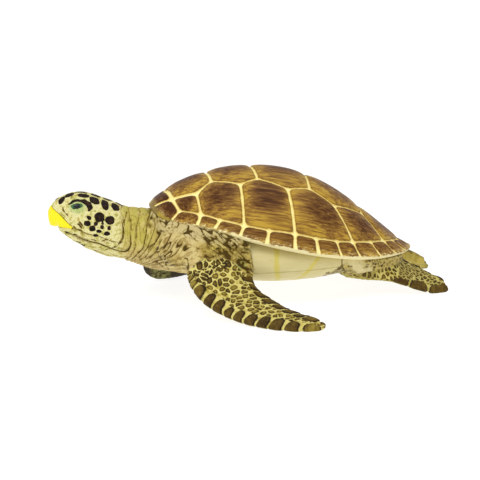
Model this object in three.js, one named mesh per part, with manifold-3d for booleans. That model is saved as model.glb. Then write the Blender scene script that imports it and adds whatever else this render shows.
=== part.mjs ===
// Hand-painted plastic sea turtle: a still toy standing on its four flippers, head towards -X.
// Millimetres, +Z up. The turtle's own left is -Y. The group is centred on its box and rests on Z = 0.
import * as THREE from 'three';
import { mergeVertices } from 'three/addons/utils/BufferGeometryUtils.js';
import Module from 'manifold-3d';

const wasm = await Module();
wasm.setup();

const GAP = 0.3; // between neighbouring bodies
const DEG = Math.PI / 180;
const FAR = 400; // beyond everything

// Carapace: a domed egg-shaped plan, pitched nose up.
const SHELL_LENGTH = 183;
const SHELL_WIDTH = 142;
const SHELL_RISE = 37.4;
const SHELL_PITCH = 12.3 * DEG;
const SHELL_LIFT = 47;
const SHELL_EGG = 0.094; // how much wider the front half is
const SHELL_APEX = -0.08; // crown ahead of the middle, as a share of half the length
const SHELL_SAG = 7.5; // the flanks hang below the ends
const SHELL_SAG_FRONT = 4.8;
const SHOULDER_DROOP = 5; // margin turned down over each shoulder
const SHOULDER_PHI = 32 * DEG;
const SHOULDER_SPREAD = 15 * DEG;
const DOME_POWER = { front: 0.82, side: 1.15, rear: 1.49 };
const RIM_DROP = 1.3;
const RIM_THICKNESS = 2.6;
const RIM_INSET = 0.985;
const UNDERSIDE_Z = -5;
const SEAM_DEPTH = 0.9;
const SEAM_HALF_WIDTH = 1.1;
const RIM_BULGE = 0.5;

// Scute corners on one half of the plan: x as a share of the length, y of half the width.
const VERTEBRAL_ENDS = [[-0.295, 0.348], [-0.135, 0.407], [0.057, 0.418], [0.275, 0.295]];
const VERTEBRAL_MIDS = [-0.311, -0.153, 0.057, 0.27];
const VERTEBRAL_PEAKS = [[-0.343, 0.451], [-0.196, 0.482], [-0.027, 0.514], [0.149, 0.497]];
// Corners of the ring seam: angle from the nose in degrees, share of the way from crown to rim.
const RING = [
  [0, 0.9], [21, 0.9], [33, 0.935], [45.7, 0.94], [57, 0.935], [68.1, 0.93], [79, 0.92], [90.4, 0.908],
  [100, 0.915], [110, 0.915], [119.1, 0.908], [131, 0.9], [142.8, 0.892], [154, 0.895], [167, 0.905],
  [180, 0.91],
];
// Rings of a scute: distance in from the seam, further share of the way to the middle, height.
const PLATE_RINGS = [[SEAM_HALF_WIDTH, 0, 0.2], [SEAM_HALF_WIDTH, 0.3, 1.0]];
const PLATE_CROWN = 1.4;
const MARGINAL_RINGS = [[SEAM_HALF_WIDTH, 0, 0.3]];
const MARGINAL_CROWN = 0.6;

// Head, neck and trunk sections across X: x, top, bottom, half width.
const HEAD_SECTIONS = [
  [-157.6, 64.5, 61, 1.5], [-156.8, 67, 56.2, 4.6], [-154.6, 70, 55, 7], [-151.6, 72.9, 54.4, 9.2],
  [-150.2, 73.7, 51.3, 10.1], [-146.5, 75.5, 48.6, 12], [-141, 77, 44.4, 13.9], [-135, 77.2, 40, 15.2],
  [-129, 75.9, 37, 15.9], [-122, 73.1, 33.7, 16.1], [-114, 69.6, 31.2, 16.3], [-106, 65.8, 28.8, 17.2],
  [-98, 63.9, 26, 19.2], [-90, 62, 24.6, 23], [-80, 59.4, 25, 25],
];
const BOWL_SECTIONS = [
  [-95, 57, 30, 15], [-88, 59.6, 24.6, 30], [-77, 60, 21.6, 43], [-62, 59, 19, 53], [-46, 56, 16.2, 60],
  [-28, 52, 13.6, 65], [-8, 47.5, 12.3, 66], [12, 43, 12.8, 64], [30, 38.5, 14.6, 58], [48, 34.5, 17, 49],
  [64, 31, 19, 37], [76, 28.6, 21, 24], [83, 27, 23, 12],
];
const BOWL_FULLNESS = 2.5;
const HEAD_FULLNESS = 2.25;
const PLASTRON_THICKNESS = 4;
const INNER_RAISE = 12; // the plastron has no lid under the carapace

// Flesh rounded over the shoulders and hips: centre and radii, left side.
const SHOULDER = { centre: [-58, -42, 42], radii: [26, 19, 15] };
const HIP = { centre: [50, -28, 23.5], radii: [26, 19, 8.5] };
// Roll of skin lapping over the carapace margin above each shoulder.
const LAP = { from: 9 * DEG, to: 70 * DEG, rho: 0.97, drop: 8, radius: 6.6, end: 1.4 };

// Flippers: leading edge, trailing edge and thickness from root to tip.
const FORE_LEFT = [
  [[-62, -30, 44], [-30, -32, 42], 28], [[-67, -57, 33], [-34, -54, 40], 20],
  [[-68, -64, 25], [-29.5, -61, 29], 17], [[-64.3, -73, 16.6], [-28, -67, 19], 13.5],
  [[-56.6, -83, 9.8], [-23.5, -74, 13], 10.5], [[-46.3, -93.5, 5.2], [-17.5, -82.5, 9.6], 8.5],
  [[-35.2, -104.5, 2.5], [-11.5, -92.5, 6.9], 7], [[-21.5, -117, 1.2], [-3.8, -104, 5], 5.6],
  [[-9.5, -124, 0.9], [1, -113.5, 5], 4.6], [[1.5, -126, 0.9], [5, -119.5, 3.6], 3.4],
  [[6, -124.6, 1.8], [6.6, -121.5, 2.8], 1.8],
];
const FORE_RIGHT = [
  [[-66, 30, 44], [-34, 32, 42], 28], [[-86, 47, 34], [-51, 52, 40], 20],
  [[-95, 59, 24], [-59, 64, 30], 17], [[-97.5, 67, 12], [-62.5, 74, 19], 13.5],
  [[-93, 72, 3.6], [-60, 83, 10.8], 10.5], [[-82.5, 77.6, 1.4], [-53, 94, 8], 8.5],
  [[-69.5, 87, 0.8], [-44.5, 105.5, 6.2], 7], [[-56, 99.5, 0.3], [-36, 116, 4.6], 5.6],
  [[-42, 109, 0.1], [-28, 121.5, 3.8], 4.6], [[-29, 118, 0.3], [-22, 125, 2.8], 3.4],
  [[-24, 122.4, 1.2], [-21.8, 125.4, 2.2], 1.8],
];
const HIND_LEFT = [
  [[27, -32, 20.5], [38, -8, 24], 12], [[45, -41.5, 14.4], [54, -14, 23.5], 12],
  [[64, -46.5, 11.4], [72, -18, 20.5], 9], [[80, -47.5, 5], [86, -22, 15.6], 6.4],
  [[92, -46.5, 0.9], [94, -28, 11.4], 4.8], [[100, -45, -0.2], [101, -35, 8], 3.6],
  [[103.4, -43, 0.8], [103.4, -38, 4.6], 1.8],
];
const HIND_RIGHT = [
  [[32, 31, 20.5], [42, 8, 24], 12], [[52, 41, 14.6], [61, 14, 23.6], 12],
  [[72, 46, 10.6], [79, 19, 19.6], 9], [[90, 49, 4.6], [94, 27, 15.4], 6.4],
  [[103.5, 50, 0.8], [104.5, 34, 10.6], 4.8], [[113, 49, -0.2], [113, 40, 6.4], 3.6],
  [[117, 48, 0.4], [117, 43.6, 2.4], 1.8],
];
const FLIPPER_FULLNESS = 2.3;
const TAIL_SECTIONS = [
  [66, 30, 20, 9], [78, 27.5, 17, 7], [88, 24, 14.6, 5.2], [96, 19.8, 12.4, 3.4], [101, 16.6, 11.6, 1.6],
];
const TAIL_FULLNESS = 2.2;

// Profiles in the XZ plane cut right across the head.
const BEAK_PROFILE = [[-170, 72], [-156.2, 71], [-153.6, 67.6], [-150, 64.6], [-146.6, 61], [-143.6, 57.4],
  [-140.6, 54.6], [-141.6, 53.6], [-147, 54.4], [-151.4, 55.4], [-152.4, 52], [-170, 52]];
const JAW_PROFILE = [[-151.8, 55.2], [-147, 54], [-141.6, 53.2], [-136, 51.6], [-133, 46], [-137, 38],
  [-152.6, 38]];
const EYE = { centre: [-136.6, -12.1, 68.4], radii: [4.4, 1.9, 2.1] };
const EYELID = { centre: [-136.6, -11.7, 68.6], radii: [5.8, 1.9, 3.5] };
const NECK_X = -117;

const PLASTRON_LOBE = { centre: 0, length: 58, width: 34 };
const PLASTRON_BRIDGE = { centre: -1, length: 37, width: 40, fullness: 6 };

const PAINT = {
  carapace: [0x8a5a2a, 0.45], plastron: [0xe3dcb6, 0.5], skin: [0xbfb07a, 0.55], head: [0xd6c98c, 0.5],
  flipper: [0x8f8350, 0.5], beak: [0xf2dc1e, 0.42], eye: [0x2f6b43, 0.2],
};

const lerp = (a, b, t) => a + (b - a) * t;

// Smooth curve through evenly counted keys; each key is a list of numbers.
function keyAt(keys, position) {
  const k = Math.min(Math.floor(position), keys.length - 2);
  const t = position - k;
  const [a, b, c, d] = [k - 1, k, k + 1, k + 2].map((i) => keys[Math.min(Math.max(i, 0), keys.length - 1)]);
  return b.map((_, i) => {
    const square = 2 * a[i] - 5 * b[i] + 4 * c[i] - d[i];
    const cube = 3 * b[i] - a[i] - 3 * c[i] + d[i];
    return 0.5 * (2 * b[i] + (c[i] - a[i]) * t + square * t * t + cube * t ** 3);
  });
}

// ---------------------------------------------------------------- solids

// Closed mesh from points and triangles, as a manifold solid facing out.
function solidOf(points, triangles) {
  const geometry = new THREE.BufferGeometry();
  const positions = points.flatMap((p) => [p.x, p.y, p.z]);
  geometry.setAttribute('position', new THREE.Float32BufferAttribute(positions, 3));
  geometry.setIndex(triangles.flat());
  return manifoldOf(geometry);
}

function manifoldOf(geometry) {
  geometry.deleteAttribute('normal');
  geometry.deleteAttribute('uv');
  const merged = mergeVertices(geometry, 1e-4);
  return new wasm.Manifold(new wasm.Mesh({
    numProp: 3,
    vertProperties: new Float32Array(merged.attributes.position.array),
    triVerts: new Uint32Array(merged.index.array),
  }));
}

function geometryOf(solid) {
  const mesh = solid.getMesh();
  const geometry = new THREE.BufferGeometry();
  const positions = [];
  for (let i = 0; i < mesh.numVert; i += 1) {
    positions.push(...mesh.vertProperties.slice(i * mesh.numProp, i * mesh.numProp + 3));
  }
  geometry.setAttribute('position', new THREE.Float32BufferAttribute(positions, 3));
  geometry.setIndex(Array.from(mesh.triVerts));
  return geometry;
}

// Rings of equal count joined in order and capped at both ends.
function skinRings(rings) {
  const n = rings[0].length;
  const points = rings.flat();
  const triangles = [];
  for (let k = 0; k + 1 < rings.length; k += 1) {
    for (let i = 0; i < n; i += 1) {
      const j = (i + 1) % n;
      const a = k * n;
      const b = a + n;
      triangles.push([a + i, b + i, b + j], [a + i, b + j, a + j]);
    }
  }
  for (const [k, last] of [[0, false], [rings.length - 1, true]]) {
    const middle = rings[k].reduce((sum, p) => sum.add(p), new THREE.Vector3()).divideScalar(n);
    points.push(middle);
    for (let i = 0; i < n; i += 1) {
      const j = (i + 1) % n;
      const a = k * n;
      triangles.push(last ? [a + j, a + i, points.length - 1] : [a + i, a + j, points.length - 1]);
    }
  }
  return solidOf(points, triangles);
}

// Unit superellipse point.
function rounded(angle, fullness) {
  const c = Math.cos(angle);
  const s = Math.sin(angle);
  return [Math.sign(c) * Math.abs(c) ** (2 / fullness), Math.sign(s) * Math.abs(s) ** (2 / fullness)];
}

// Body whose sections lie across X.
function sectioned(sections, { fullness, around, steps, grow = 0, raise = 0 }) {
  const rings = [];
  const count = (sections.length - 1) * steps;
  for (let k = 0; k <= count; k += 1) {
    const [x, top, bottom, half] = keyAt(sections, k / steps);
    const middle = (top + raise + bottom) / 2;
    const rise = (top + raise - bottom) / 2 + grow;
    const reach = k === 0 ? -grow : (k === count ? grow : 0);
    rings.push(Array.from({ length: around }, (_, i) => {
      const [c, s] = rounded((i + 0.5) / around * 2 * Math.PI, fullness);
      return new THREE.Vector3(x + reach, Math.max(half + grow, 0.5) * c, middle + rise * s);
    }));
  }
  return skinRings(rings);
}

// Flipper drawn between its leading and trailing edges.
function flipper(keys, { around = 12, steps = 2, grow = 0 }) {
  const flat = keys.map(([lead, trail, thickness]) => [...lead, ...trail, thickness]);
  const count = (keys.length - 1) * steps;
  const frames = [];
  for (let k = 0; k <= count; k += 1) {
    const v = keyAt(flat, k / steps);
    const lead = new THREE.Vector3(v[0], v[1], v[2]);
    const trail = new THREE.Vector3(v[3], v[4], v[5]);
    frames.push({ lead, trail, middle: lead.clone().lerp(trail, 0.5), thickness: v[6] });
  }
  const rings = frames.map((f, k) => {
    const before = frames[Math.max(k - 1, 0)].middle;
    const after = frames[Math.min(k + 1, count)].middle;
    const along = after.clone().sub(before).normalize();
    const chord = f.lead.clone().sub(f.trail);
    const width = chord.length() / 2 + grow;
    const out = chord.normalize();
    const up = new THREE.Vector3().crossVectors(along, out).normalize();
    const reach = k === 0 ? -grow : (k === count ? grow : 0);
    return Array.from({ length: around }, (_, i) => {
      const [c, s] = rounded(i / around * 2 * Math.PI, FLIPPER_FULLNESS);
      const p = f.middle.clone().addScaledVector(along, reach);
      return p.addScaledVector(out, width * c).addScaledVector(up, (f.thickness / 2 + grow) * s);
    });
  });
  return positive(skinRings(rings));
}

// A solid whose faces were wound inwards comes back turned the right way.
function positive(solid) {
  if (solid.volume() > 0) return solid;
  const geometry = geometryOf(solid);
  const order = Array.from(geometry.index.array);
  for (let i = 0; i < order.length; i += 3) [order[i], order[i + 1]] = [order[i + 1], order[i]];
  geometry.setIndex(order);
  return manifoldOf(geometry);
}

// Round roll of skin following the carapace margin.
function lap({ from, to, rho, drop, radius, end }, side, steps = 8, around = 8) {
  const at = (t) => {
    const p = pitched(domePoint({ phi: side * lerp(from, to, t), rho }));
    p.z -= drop;
    return p;
  };
  const rings = Array.from({ length: steps + 1 }, (_, k) => {
    const t = k / steps;
    const along = at(t + 0.01).sub(at(t - 0.01)).normalize();
    const out = new THREE.Vector3(along.y, -along.x, 0).normalize();
    const up = new THREE.Vector3().crossVectors(along, out);
    const size = lerp(end, radius, Math.sin(t * Math.PI) ** 0.6);
    return Array.from({ length: around }, (_u, i) => {
      const angle = i / around * 2 * Math.PI;
      return at(t).addScaledVector(out, size * Math.cos(angle)).addScaledVector(up, size * Math.sin(angle));
    });
  });
  return positive(skinRings(rings));
}

function blob({ centre, radii }, side = 1, grow = 0, detail = 10) {
  const geometry = new THREE.SphereGeometry(1, detail, Math.round(detail * 0.6));
  geometry.scale(...radii.map((r) => r + grow));
  geometry.translate(centre[0], side * centre[1], centre[2]);
  return manifoldOf(geometry);
}

// Prism standing on a plan outline, or lying along Y from a side profile.
function prism(outline, from, to, lying = false) {
  const shape = new THREE.Shape(outline.map(([x, y]) => new THREE.Vector2(x, y)));
  const geometry = new THREE.ExtrudeGeometry(shape, { depth: to - from, bevelEnabled: false });
  geometry.translate(0, 0, from);
  if (lying) geometry.rotateX(Math.PI / 2);
  return manifoldOf(geometry);
}

// Outline moved out by a distance, its corners mitred.
function offset(outline, distance) {
  const n = outline.length;
  const points = outline.map(([x, y]) => new THREE.Vector2(x, y));
  const turn = Math.sign(THREE.ShapeUtils.area(points)) * distance;
  return points.map((p, i) => {
    const before = p.clone().sub(points[(i + n - 1) % n]).normalize();
    const after = points[(i + 1) % n].clone().sub(p).normalize();
    const along = before.clone().add(after).normalize();
    const reach = turn / Math.max(along.dot(after), 0.5);
    return [p.x + along.y * reach, p.y - along.x * reach];
  });
}

function box(from, to) {
  const size = to.map((v, i) => v - from[i]);
  const geometry = new THREE.BoxGeometry(...size);
  geometry.translate(...from.map((v, i) => v + size[i] / 2));
  return manifoldOf(geometry);
}

// ---------------------------------------------------------------- carapace

function shellOutline(phi, grow) {
  return [
    -(SHELL_LENGTH / 2 + grow) * Math.cos(phi),
    (SHELL_WIDTH / 2 + grow) * Math.sin(phi) * (1 + SHELL_EGG * Math.cos(phi)),
  ];
}

function rimSag(phi) {
  const off = (Math.abs(phi) - SHOULDER_PHI) / SHOULDER_SPREAD;
  const flank = Math.sin(phi) ** 2 * (SHELL_SAG - SHELL_SAG_FRONT * Math.cos(phi));
  return flank + SHOULDER_DROOP * Math.exp(-off * off);
}

// Point of the dome before the pitch, from its angle and share of the way from crown to rim.
function domePoint({ phi, rho }, grow = 0) {
  const [ox, oy] = shellOutline(phi, grow);
  const ax = SHELL_APEX * SHELL_LENGTH / 2;
  const c = Math.cos(phi);
  const power = lerp(DOME_POWER.side, c > 0 ? DOME_POWER.front : DOME_POWER.rear, c * c);
  const rise = (SHELL_RISE + grow) * Math.max(1 - rho * rho, 0) ** power;
  return new THREE.Vector3(ax + rho * (ox - ax), rho * oy, rise - rho ** 6 * rimSag(phi));
}

function pitched(p) {
  const c = Math.cos(SHELL_PITCH);
  const s = Math.sin(SHELL_PITCH);
  return new THREE.Vector3(c * p.x + s * p.z, p.y, SHELL_LIFT - s * p.x + c * p.z);
}

// Angle and share of the way to the rim of a point of the plan.
function polarOf(x, y) {
  const ax = SHELL_APEX * SHELL_LENGTH / 2;
  let low = 0;
  let high = Math.PI;
  for (let i = 0; i < 44; i += 1) {
    const mid = (low + high) / 2;
    const [ox, oy] = shellOutline(mid, 0);
    if ((ox - ax) * Math.abs(y) - oy * (x - ax) > 0) high = mid;
    else low = mid;
  }
  const [ox, oy] = shellOutline(low, 0);
  return { phi: Math.sign(y || 1) * low, rho: Math.hypot(x - ax, y) / Math.hypot(ox - ax, oy) };
}

// Dome point pushed out along the surface normal.
function liftedPoint(p, lift, grow = 0) {
  const step = 1e-3;
  const rho = Math.min(p.rho, 1 - step);
  const here = domePoint({ phi: p.phi, rho }, grow);
  const along = domePoint({ phi: p.phi, rho: rho - step }, grow).sub(here);
  const across = domePoint({ phi: p.phi + step, rho }, grow).sub(here);
  const normal = new THREE.Vector3().crossVectors(across, along).normalize();
  return domePoint(p, grow).addScaledVector(normal, lift * Math.sign(normal.z));
}

const planOf = (p) => [p.x / SHELL_LENGTH, p.y / (SHELL_WIDTH / 2)];
const polarAt = ([u, v]) => polarOf(u * SHELL_LENGTH, v * SHELL_WIDTH / 2);
const ringCorner = (k) => planOf(domePoint({ phi: RING[k][0] * DEG, rho: RING[k][1] }));

// Points of a straight seam, start included and end left out, the same from either end.
function seam(from, to, steps) {
  const forward = from[0] < to[0] || (from[0] === to[0] && from[1] < to[1]);
  const [a, b] = forward ? [from, to] : [to, from];
  const line = [];
  for (let i = 0; i <= steps; i += 1) {
    line.push(polarAt([lerp(a[0], b[0], i / steps), lerp(a[1], b[1], i / steps)]));
  }
  return (forward ? line : line.reverse()).slice(0, -1);
}

function path(...corners) {
  return corners.slice(1).flatMap((to, i) => {
    const from = corners[i];
    const length = Math.hypot((to[0] - from[0]) * SHELL_LENGTH, (to[1] - from[1]) * SHELL_WIDTH / 2);
    return seam(from, to, Math.max(1, Math.round(length / 7)));
  });
}

const mirror = (points) => points.map(({ phi, rho }) => ({ phi: -phi, rho }));

// Half outline from midline to midline closed by its mirror image.
function doubled(half, last) {
  return [...half, polarAt(last), ...mirror(half).slice(1).reverse()];
}

function vertebralOutlines() {
  const ring = RING.map((_, k) => ringCorner(k));
  const mids = VERTEBRAL_MIDS.map((u) => [u, 0]);
  const outlines = [doubled(path(ring[0], ring[1], VERTEBRAL_PEAKS[0], VERTEBRAL_ENDS[0], mids[0]), mids[0])];
  for (let k = 1; k < 4; k += 1) {
    const half = path(mids[k - 1], VERTEBRAL_ENDS[k - 1], VERTEBRAL_PEAKS[k], VERTEBRAL_ENDS[k], mids[k]);
    outlines.push(doubled(half, mids[k]));
  }
  outlines.push(doubled(path(mids[3], VERTEBRAL_ENDS[3], ring[12], ring[13], ring[14], ring[15]), ring[15]));
  return outlines;
}

function costalOutlines() {
  const ring = RING.map((_, k) => ringCorner(k));
  const [peaks, ends] = [VERTEBRAL_PEAKS, VERTEBRAL_ENDS];
  const loops = [
    [ring[1], ring[2], ring[3], peaks[0], ring[1]],
    [peaks[0], ring[3], ring[4], ring[5], peaks[1], ends[0], peaks[0]],
    [peaks[1], ring[5], ring[6], ring[7], peaks[2], ends[1], peaks[1]],
    [peaks[2], ring[7], ring[8], ring[9], ring[10], peaks[3], ends[2], peaks[2]],
    [peaks[3], ring[10], ring[11], ring[12], ends[3], peaks[3]],
  ];
  return loops.flatMap((loop) => [path(...loop), mirror(path(...loop))]);
}

// Rim points between two angles, both ends included; scalloped between the radial seams.
function rimLine(from, to) {
  const steps = Math.max(2, Math.round(Math.abs(to - from) / (7 * DEG)));
  return Array.from({ length: steps + 1 }, (_, i) => ({
    phi: i === 0 ? from : (i === steps ? to : lerp(from, to, i / steps)),
    rho: 1,
    lift: i % steps === 0 ? 0 : RIM_BULGE,
  }));
}

function marginalOutlines() {
  const outlines = [];
  const nuchalRing = path(ringCorner(0), ringCorner(1));
  const corner = RING[1][0] * DEG;
  const nuchalRim = rimLine(0, corner);
  outlines.push([...mirror(nuchalRing).slice(1).reverse(), ...nuchalRing, polarAt(ringCorner(1)),
    ...nuchalRim.slice().reverse(), ...nuchalRim.slice(1).map((p) => ({ ...p, phi: -p.phi })),
    mirror([polarAt(ringCorner(1))])[0]]);
  for (let k = 1; k + 1 < RING.length; k += 1) {
    const rim = rimLine(RING[k][0] * DEG, RING[k + 1][0] * DEG).reverse();
    const ring = [...path(ringCorner(k), ringCorner(k + 1)), polarAt(ringCorner(k + 1))];
    outlines.push([...ring, ...rim], [...mirror(ring), ...rim.map((p) => ({ ...p, phi: -p.phi }))]);
  }
  return outlines;
}

// One raised scute: its seam outline, rings drawn in from it and a crown point.
function addScute(shell, loop, rings, crown) {
  const area = THREE.ShapeUtils.area(loop.map((p) => domePoint(p)));
  const outline = area < 0 ? loop.slice().reverse() : loop;
  const plan = outline.map((p) => domePoint(p));
  const middle = plan.reduce((sum, p) => sum.add(p), new THREE.Vector3()).divideScalar(plan.length);
  const n = outline.length;
  const start = shell.points.length;
  shell.points.push(...outline.map((p) => liftedPoint(p, p.lift ?? -SEAM_DEPTH)));
  for (const [inset, share, height] of rings) {
    shell.points.push(...plan.map((p) => {
      const t = Math.min(inset / Math.hypot(middle.x - p.x, middle.y - p.y) + share, 0.9);
      return liftedPoint(polarOf(lerp(p.x, middle.x, t), lerp(p.y, middle.y, t)), height);
    }));
  }
  shell.points.push(liftedPoint(polarOf(middle.x, middle.y), crown));
  for (let i = 0; i < n; i += 1) {
    const j = (i + 1) % n;
    for (let k = 0; k < rings.length; k += 1) {
      const a = start + k * n;
      shell.triangles.push([a + i, a + j, a + n + j], [a + i, a + n + j, a + n + i]);
    }
    const last = start + rings.length * n;
    shell.triangles.push([last + i, last + j, last + n]);
  }
}

// Rim of the carapace all the way round, starting at the nose.
function wholeRim() {
  const spans = RING.slice(0, -1).map(([from], k) => [from * DEG, RING[k + 1][0] * DEG]);
  const half = spans.flatMap(([from, to]) => rimLine(from, to).slice(0, -1));
  half.push({ phi: Math.PI, rho: 1, lift: 0 });
  return [...half, ...half.slice(1, -1).reverse().map((p) => ({ ...p, phi: -p.phi }))];
}

// Edge and underside of the carapace below a rim.
function addUnderside(shell, rim, top, grow) {
  const edge = top.map((p) => new THREE.Vector3(p.x, p.y, p.z - RIM_DROP));
  const under = rim.map((p) => {
    const q = domePoint(p, grow);
    return new THREE.Vector3(q.x * RIM_INSET, q.y * RIM_INSET, q.z - RIM_THICKNESS - grow);
  });
  const start = shell.points.length;
  const n = rim.length;
  shell.points.push(...top, ...edge, ...under, new THREE.Vector3(0, 0, UNDERSIDE_Z - grow));
  for (let i = 0; i < n; i += 1) {
    const j = (i + 1) % n;
    for (let k = 0; k < 2; k += 1) {
      const a = start + k * n;
      shell.triangles.push([a + i, a + j, a + n + j], [a + i, a + n + j, a + n + i]);
    }
    shell.triangles.push([start + 2 * n + i, start + 2 * n + j, start + 3 * n]);
  }
}

function carapace() {
  const shell = { points: [], triangles: [] };
  const plates = [...vertebralOutlines(), ...costalOutlines()];
  plates.forEach((outline) => addScute(shell, outline, PLATE_RINGS, PLATE_CROWN));
  marginalOutlines().forEach((outline) => addScute(shell, outline, MARGINAL_RINGS, MARGINAL_CROWN));
  const rim = wholeRim();
  addUnderside(shell, rim, rim.map((p) => liftedPoint(p, p.lift)), 0);
  return positive(solidOf(shell.points.map(pitched), shell.triangles));
}

// Plain dome standing clear of the carapace by the gap, for cutting its neighbours.
function carapaceRoom() {
  const shell = { points: [], triangles: [] };
  const rim = wholeRim();
  const n = rim.length;
  const rings = [1, 0.985, 0.95, 0.9, 0.75].map((rho) => rim.map((p) => {
    const lift = rho < 1 ? MARGINAL_CROWN + GAP : p.lift;
    return liftedPoint({ phi: p.phi, rho }, lift, GAP);
  }));
  shell.points.push(...rings.flat(), liftedPoint({ phi: 0, rho: 0 }, PLATE_CROWN, GAP));
  for (let i = 0; i < n; i += 1) {
    const j = (i + 1) % n;
    for (let k = 0; k + 1 < rings.length; k += 1) {
      const a = k * n;
      shell.triangles.push([a + j, a + i, a + n + i], [a + j, a + n + i, a + n + j]);
    }
    const last = (rings.length - 1) * n;
    shell.triangles.push([last + j, last + i, last + n]);
  }
  addUnderside(shell, rim, rings[0], GAP);
  return positive(solidOf(shell.points.map(pitched), shell.triangles));
}

// ---------------------------------------------------------------- body

function plastronOutline() {
  const [a, b] = [PLASTRON_LOBE, PLASTRON_BRIDGE];
  const stations = 14;
  const side = Array.from({ length: stations + 1 }, (_, i) => {
    const x = a.centre - a.length * Math.cos(i / stations * Math.PI);
    const lobe = a.width * Math.sqrt(Math.max(1 - ((x - a.centre) / a.length) ** 2, 0));
    return [x, lobe + b.width * Math.exp(-(Math.abs((x - b.centre) / b.length) ** b.fullness))];
  });
  return [...side, ...side.slice(1, -1).reverse().map(([x, y]) => [x, -y])];
}

const bowl = (grow, raise = 0) => (
  positive(sectioned(BOWL_SECTIONS, { fullness: BOWL_FULLNESS, around: 20, steps: 1, grow, raise })));
const headBody = (grow) => (
  positive(sectioned(HEAD_SECTIONS, { fullness: HEAD_FULLNESS, around: 18, steps: 2, grow })));

const union = (solids) => solids.reduce((sum, solid) => sum.add(solid));
const less = (solid, ...rooms) => rooms.reduce((left, room) => left.subtract(room), solid);

const shellBody = carapace();
const shellRoom = carapaceRoom();
const plastronShape = plastronOutline();
const plastronZone = prism(plastronShape, 0, FAR);
const plastronRoom = prism(offset(plastronShape, GAP), 0, FAR);

const limbs = {
  fore_flipper_left: FORE_LEFT,
  fore_flipper_right: FORE_RIGHT,
  hind_flipper_left: HIND_LEFT,
  hind_flipper_right: HIND_RIGHT,
};
const tail = (grow) => (
  positive(sectioned(TAIL_SECTIONS, { fullness: TAIL_FULLNESS, around: 10, steps: 1, grow })));
const ground = box([-FAR, -FAR, -FAR], [FAR, FAR, 0]);

const flesh = union([
  bowl(0), blob(SHOULDER, 1), blob(SHOULDER, -1), blob(HIP, 1), blob(HIP, -1), lap(LAP, 1), lap(LAP, -1),
]);
const limbRoom = Object.values(limbs).map((keys) => flipper(keys, { grow: GAP }));
const plastronPocket = plastronRoom.subtract(bowl(-PLASTRON_THICKNESS - GAP, INNER_RAISE));
const plastronPlate = less(bowl(0).intersect(plastronZone), bowl(-PLASTRON_THICKNESS, INNER_RAISE));
const plastron = less(plastronPlate, shellRoom, ...limbRoom);
const trunk = less(flesh, plastronPocket, shellRoom, headBody(GAP), tail(GAP), ...limbRoom);

const lids = [blob(EYELID, 1), blob(EYELID, -1)];
const eyeRoom = [blob(EYE, 1, GAP), blob(EYE, -1, GAP)];
const across = (profile) => prism(profile, -FAR, FAR, true);
const beakRoom = across(offset(BEAK_PROFILE, GAP));
const jawRoom = across(offset(JAW_PROFILE, GAP));
const ahead = box([-FAR, -FAR, -FAR], [NECK_X - GAP / 2, FAR, FAR]);
const behind = box([NECK_X + GAP / 2, -FAR, -FAR], [FAR, FAR, FAR]);
const headHalf = union([headBody(0), ...lids]).intersect(ahead);
const neck = less(headBody(0).intersect(behind), shellRoom);
const beak = headHalf.intersect(across(BEAK_PROFILE));
const lowerJaw = less(headHalf.intersect(across(JAW_PROFILE)), beakRoom);
const head = less(headHalf, beakRoom, jawRoom, ...eyeRoom);
const flipperBody = (keys) => less(flipper(keys, {}), ground, shellRoom);

const parts = [
  ['carapace', shellBody, PAINT.carapace],
  ['plastron', plastron, PAINT.plastron],
  ['trunk', trunk, PAINT.skin],
  ['neck', neck, PAINT.skin],
  ['head', head, PAINT.head],
  ['beak', beak, PAINT.beak],
  ['lower_jaw', lowerJaw, PAINT.head],
  ['eye_left', blob(EYE, 1), PAINT.eye],
  ['eye_right', blob(EYE, -1), PAINT.eye],
  ['tail', less(tail(0), shellRoom), PAINT.skin],
  ...Object.entries(limbs).map(([name, keys]) => [name, flipperBody(keys), PAINT.flipper]),
];

const turtle = new THREE.Group();
turtle.name = 'sea_turtle';
for (const [name, solid, [colour, roughness]] of parts) {
  const material = new THREE.MeshStandardMaterial({ color: colour, roughness, metalness: 0 });
  const mesh = new THREE.Mesh(geometryOf(solid), material);
  mesh.name = name;
  turtle.add(mesh);
}
turtle.updateMatrixWorld(true);
const bounds = new THREE.Box3().setFromObject(turtle);
const middle = bounds.getCenter(new THREE.Vector3());
for (const mesh of turtle.children) mesh.geometry.translate(-middle.x, -middle.y, -bounds.min.z);

export default turtle;
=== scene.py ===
"""Hand-painted plastic sea turtle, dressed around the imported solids.

Shapes are worked out in millimetres in the moulding's own frame: the head points to -X, the turtle's
left is -Y and the floor is Z = 0. ORIGIN moves them into the row frame.
"""

import math

import bpy
import numpy as np
import openvdb
from mathutils import Matrix, Vector


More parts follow.
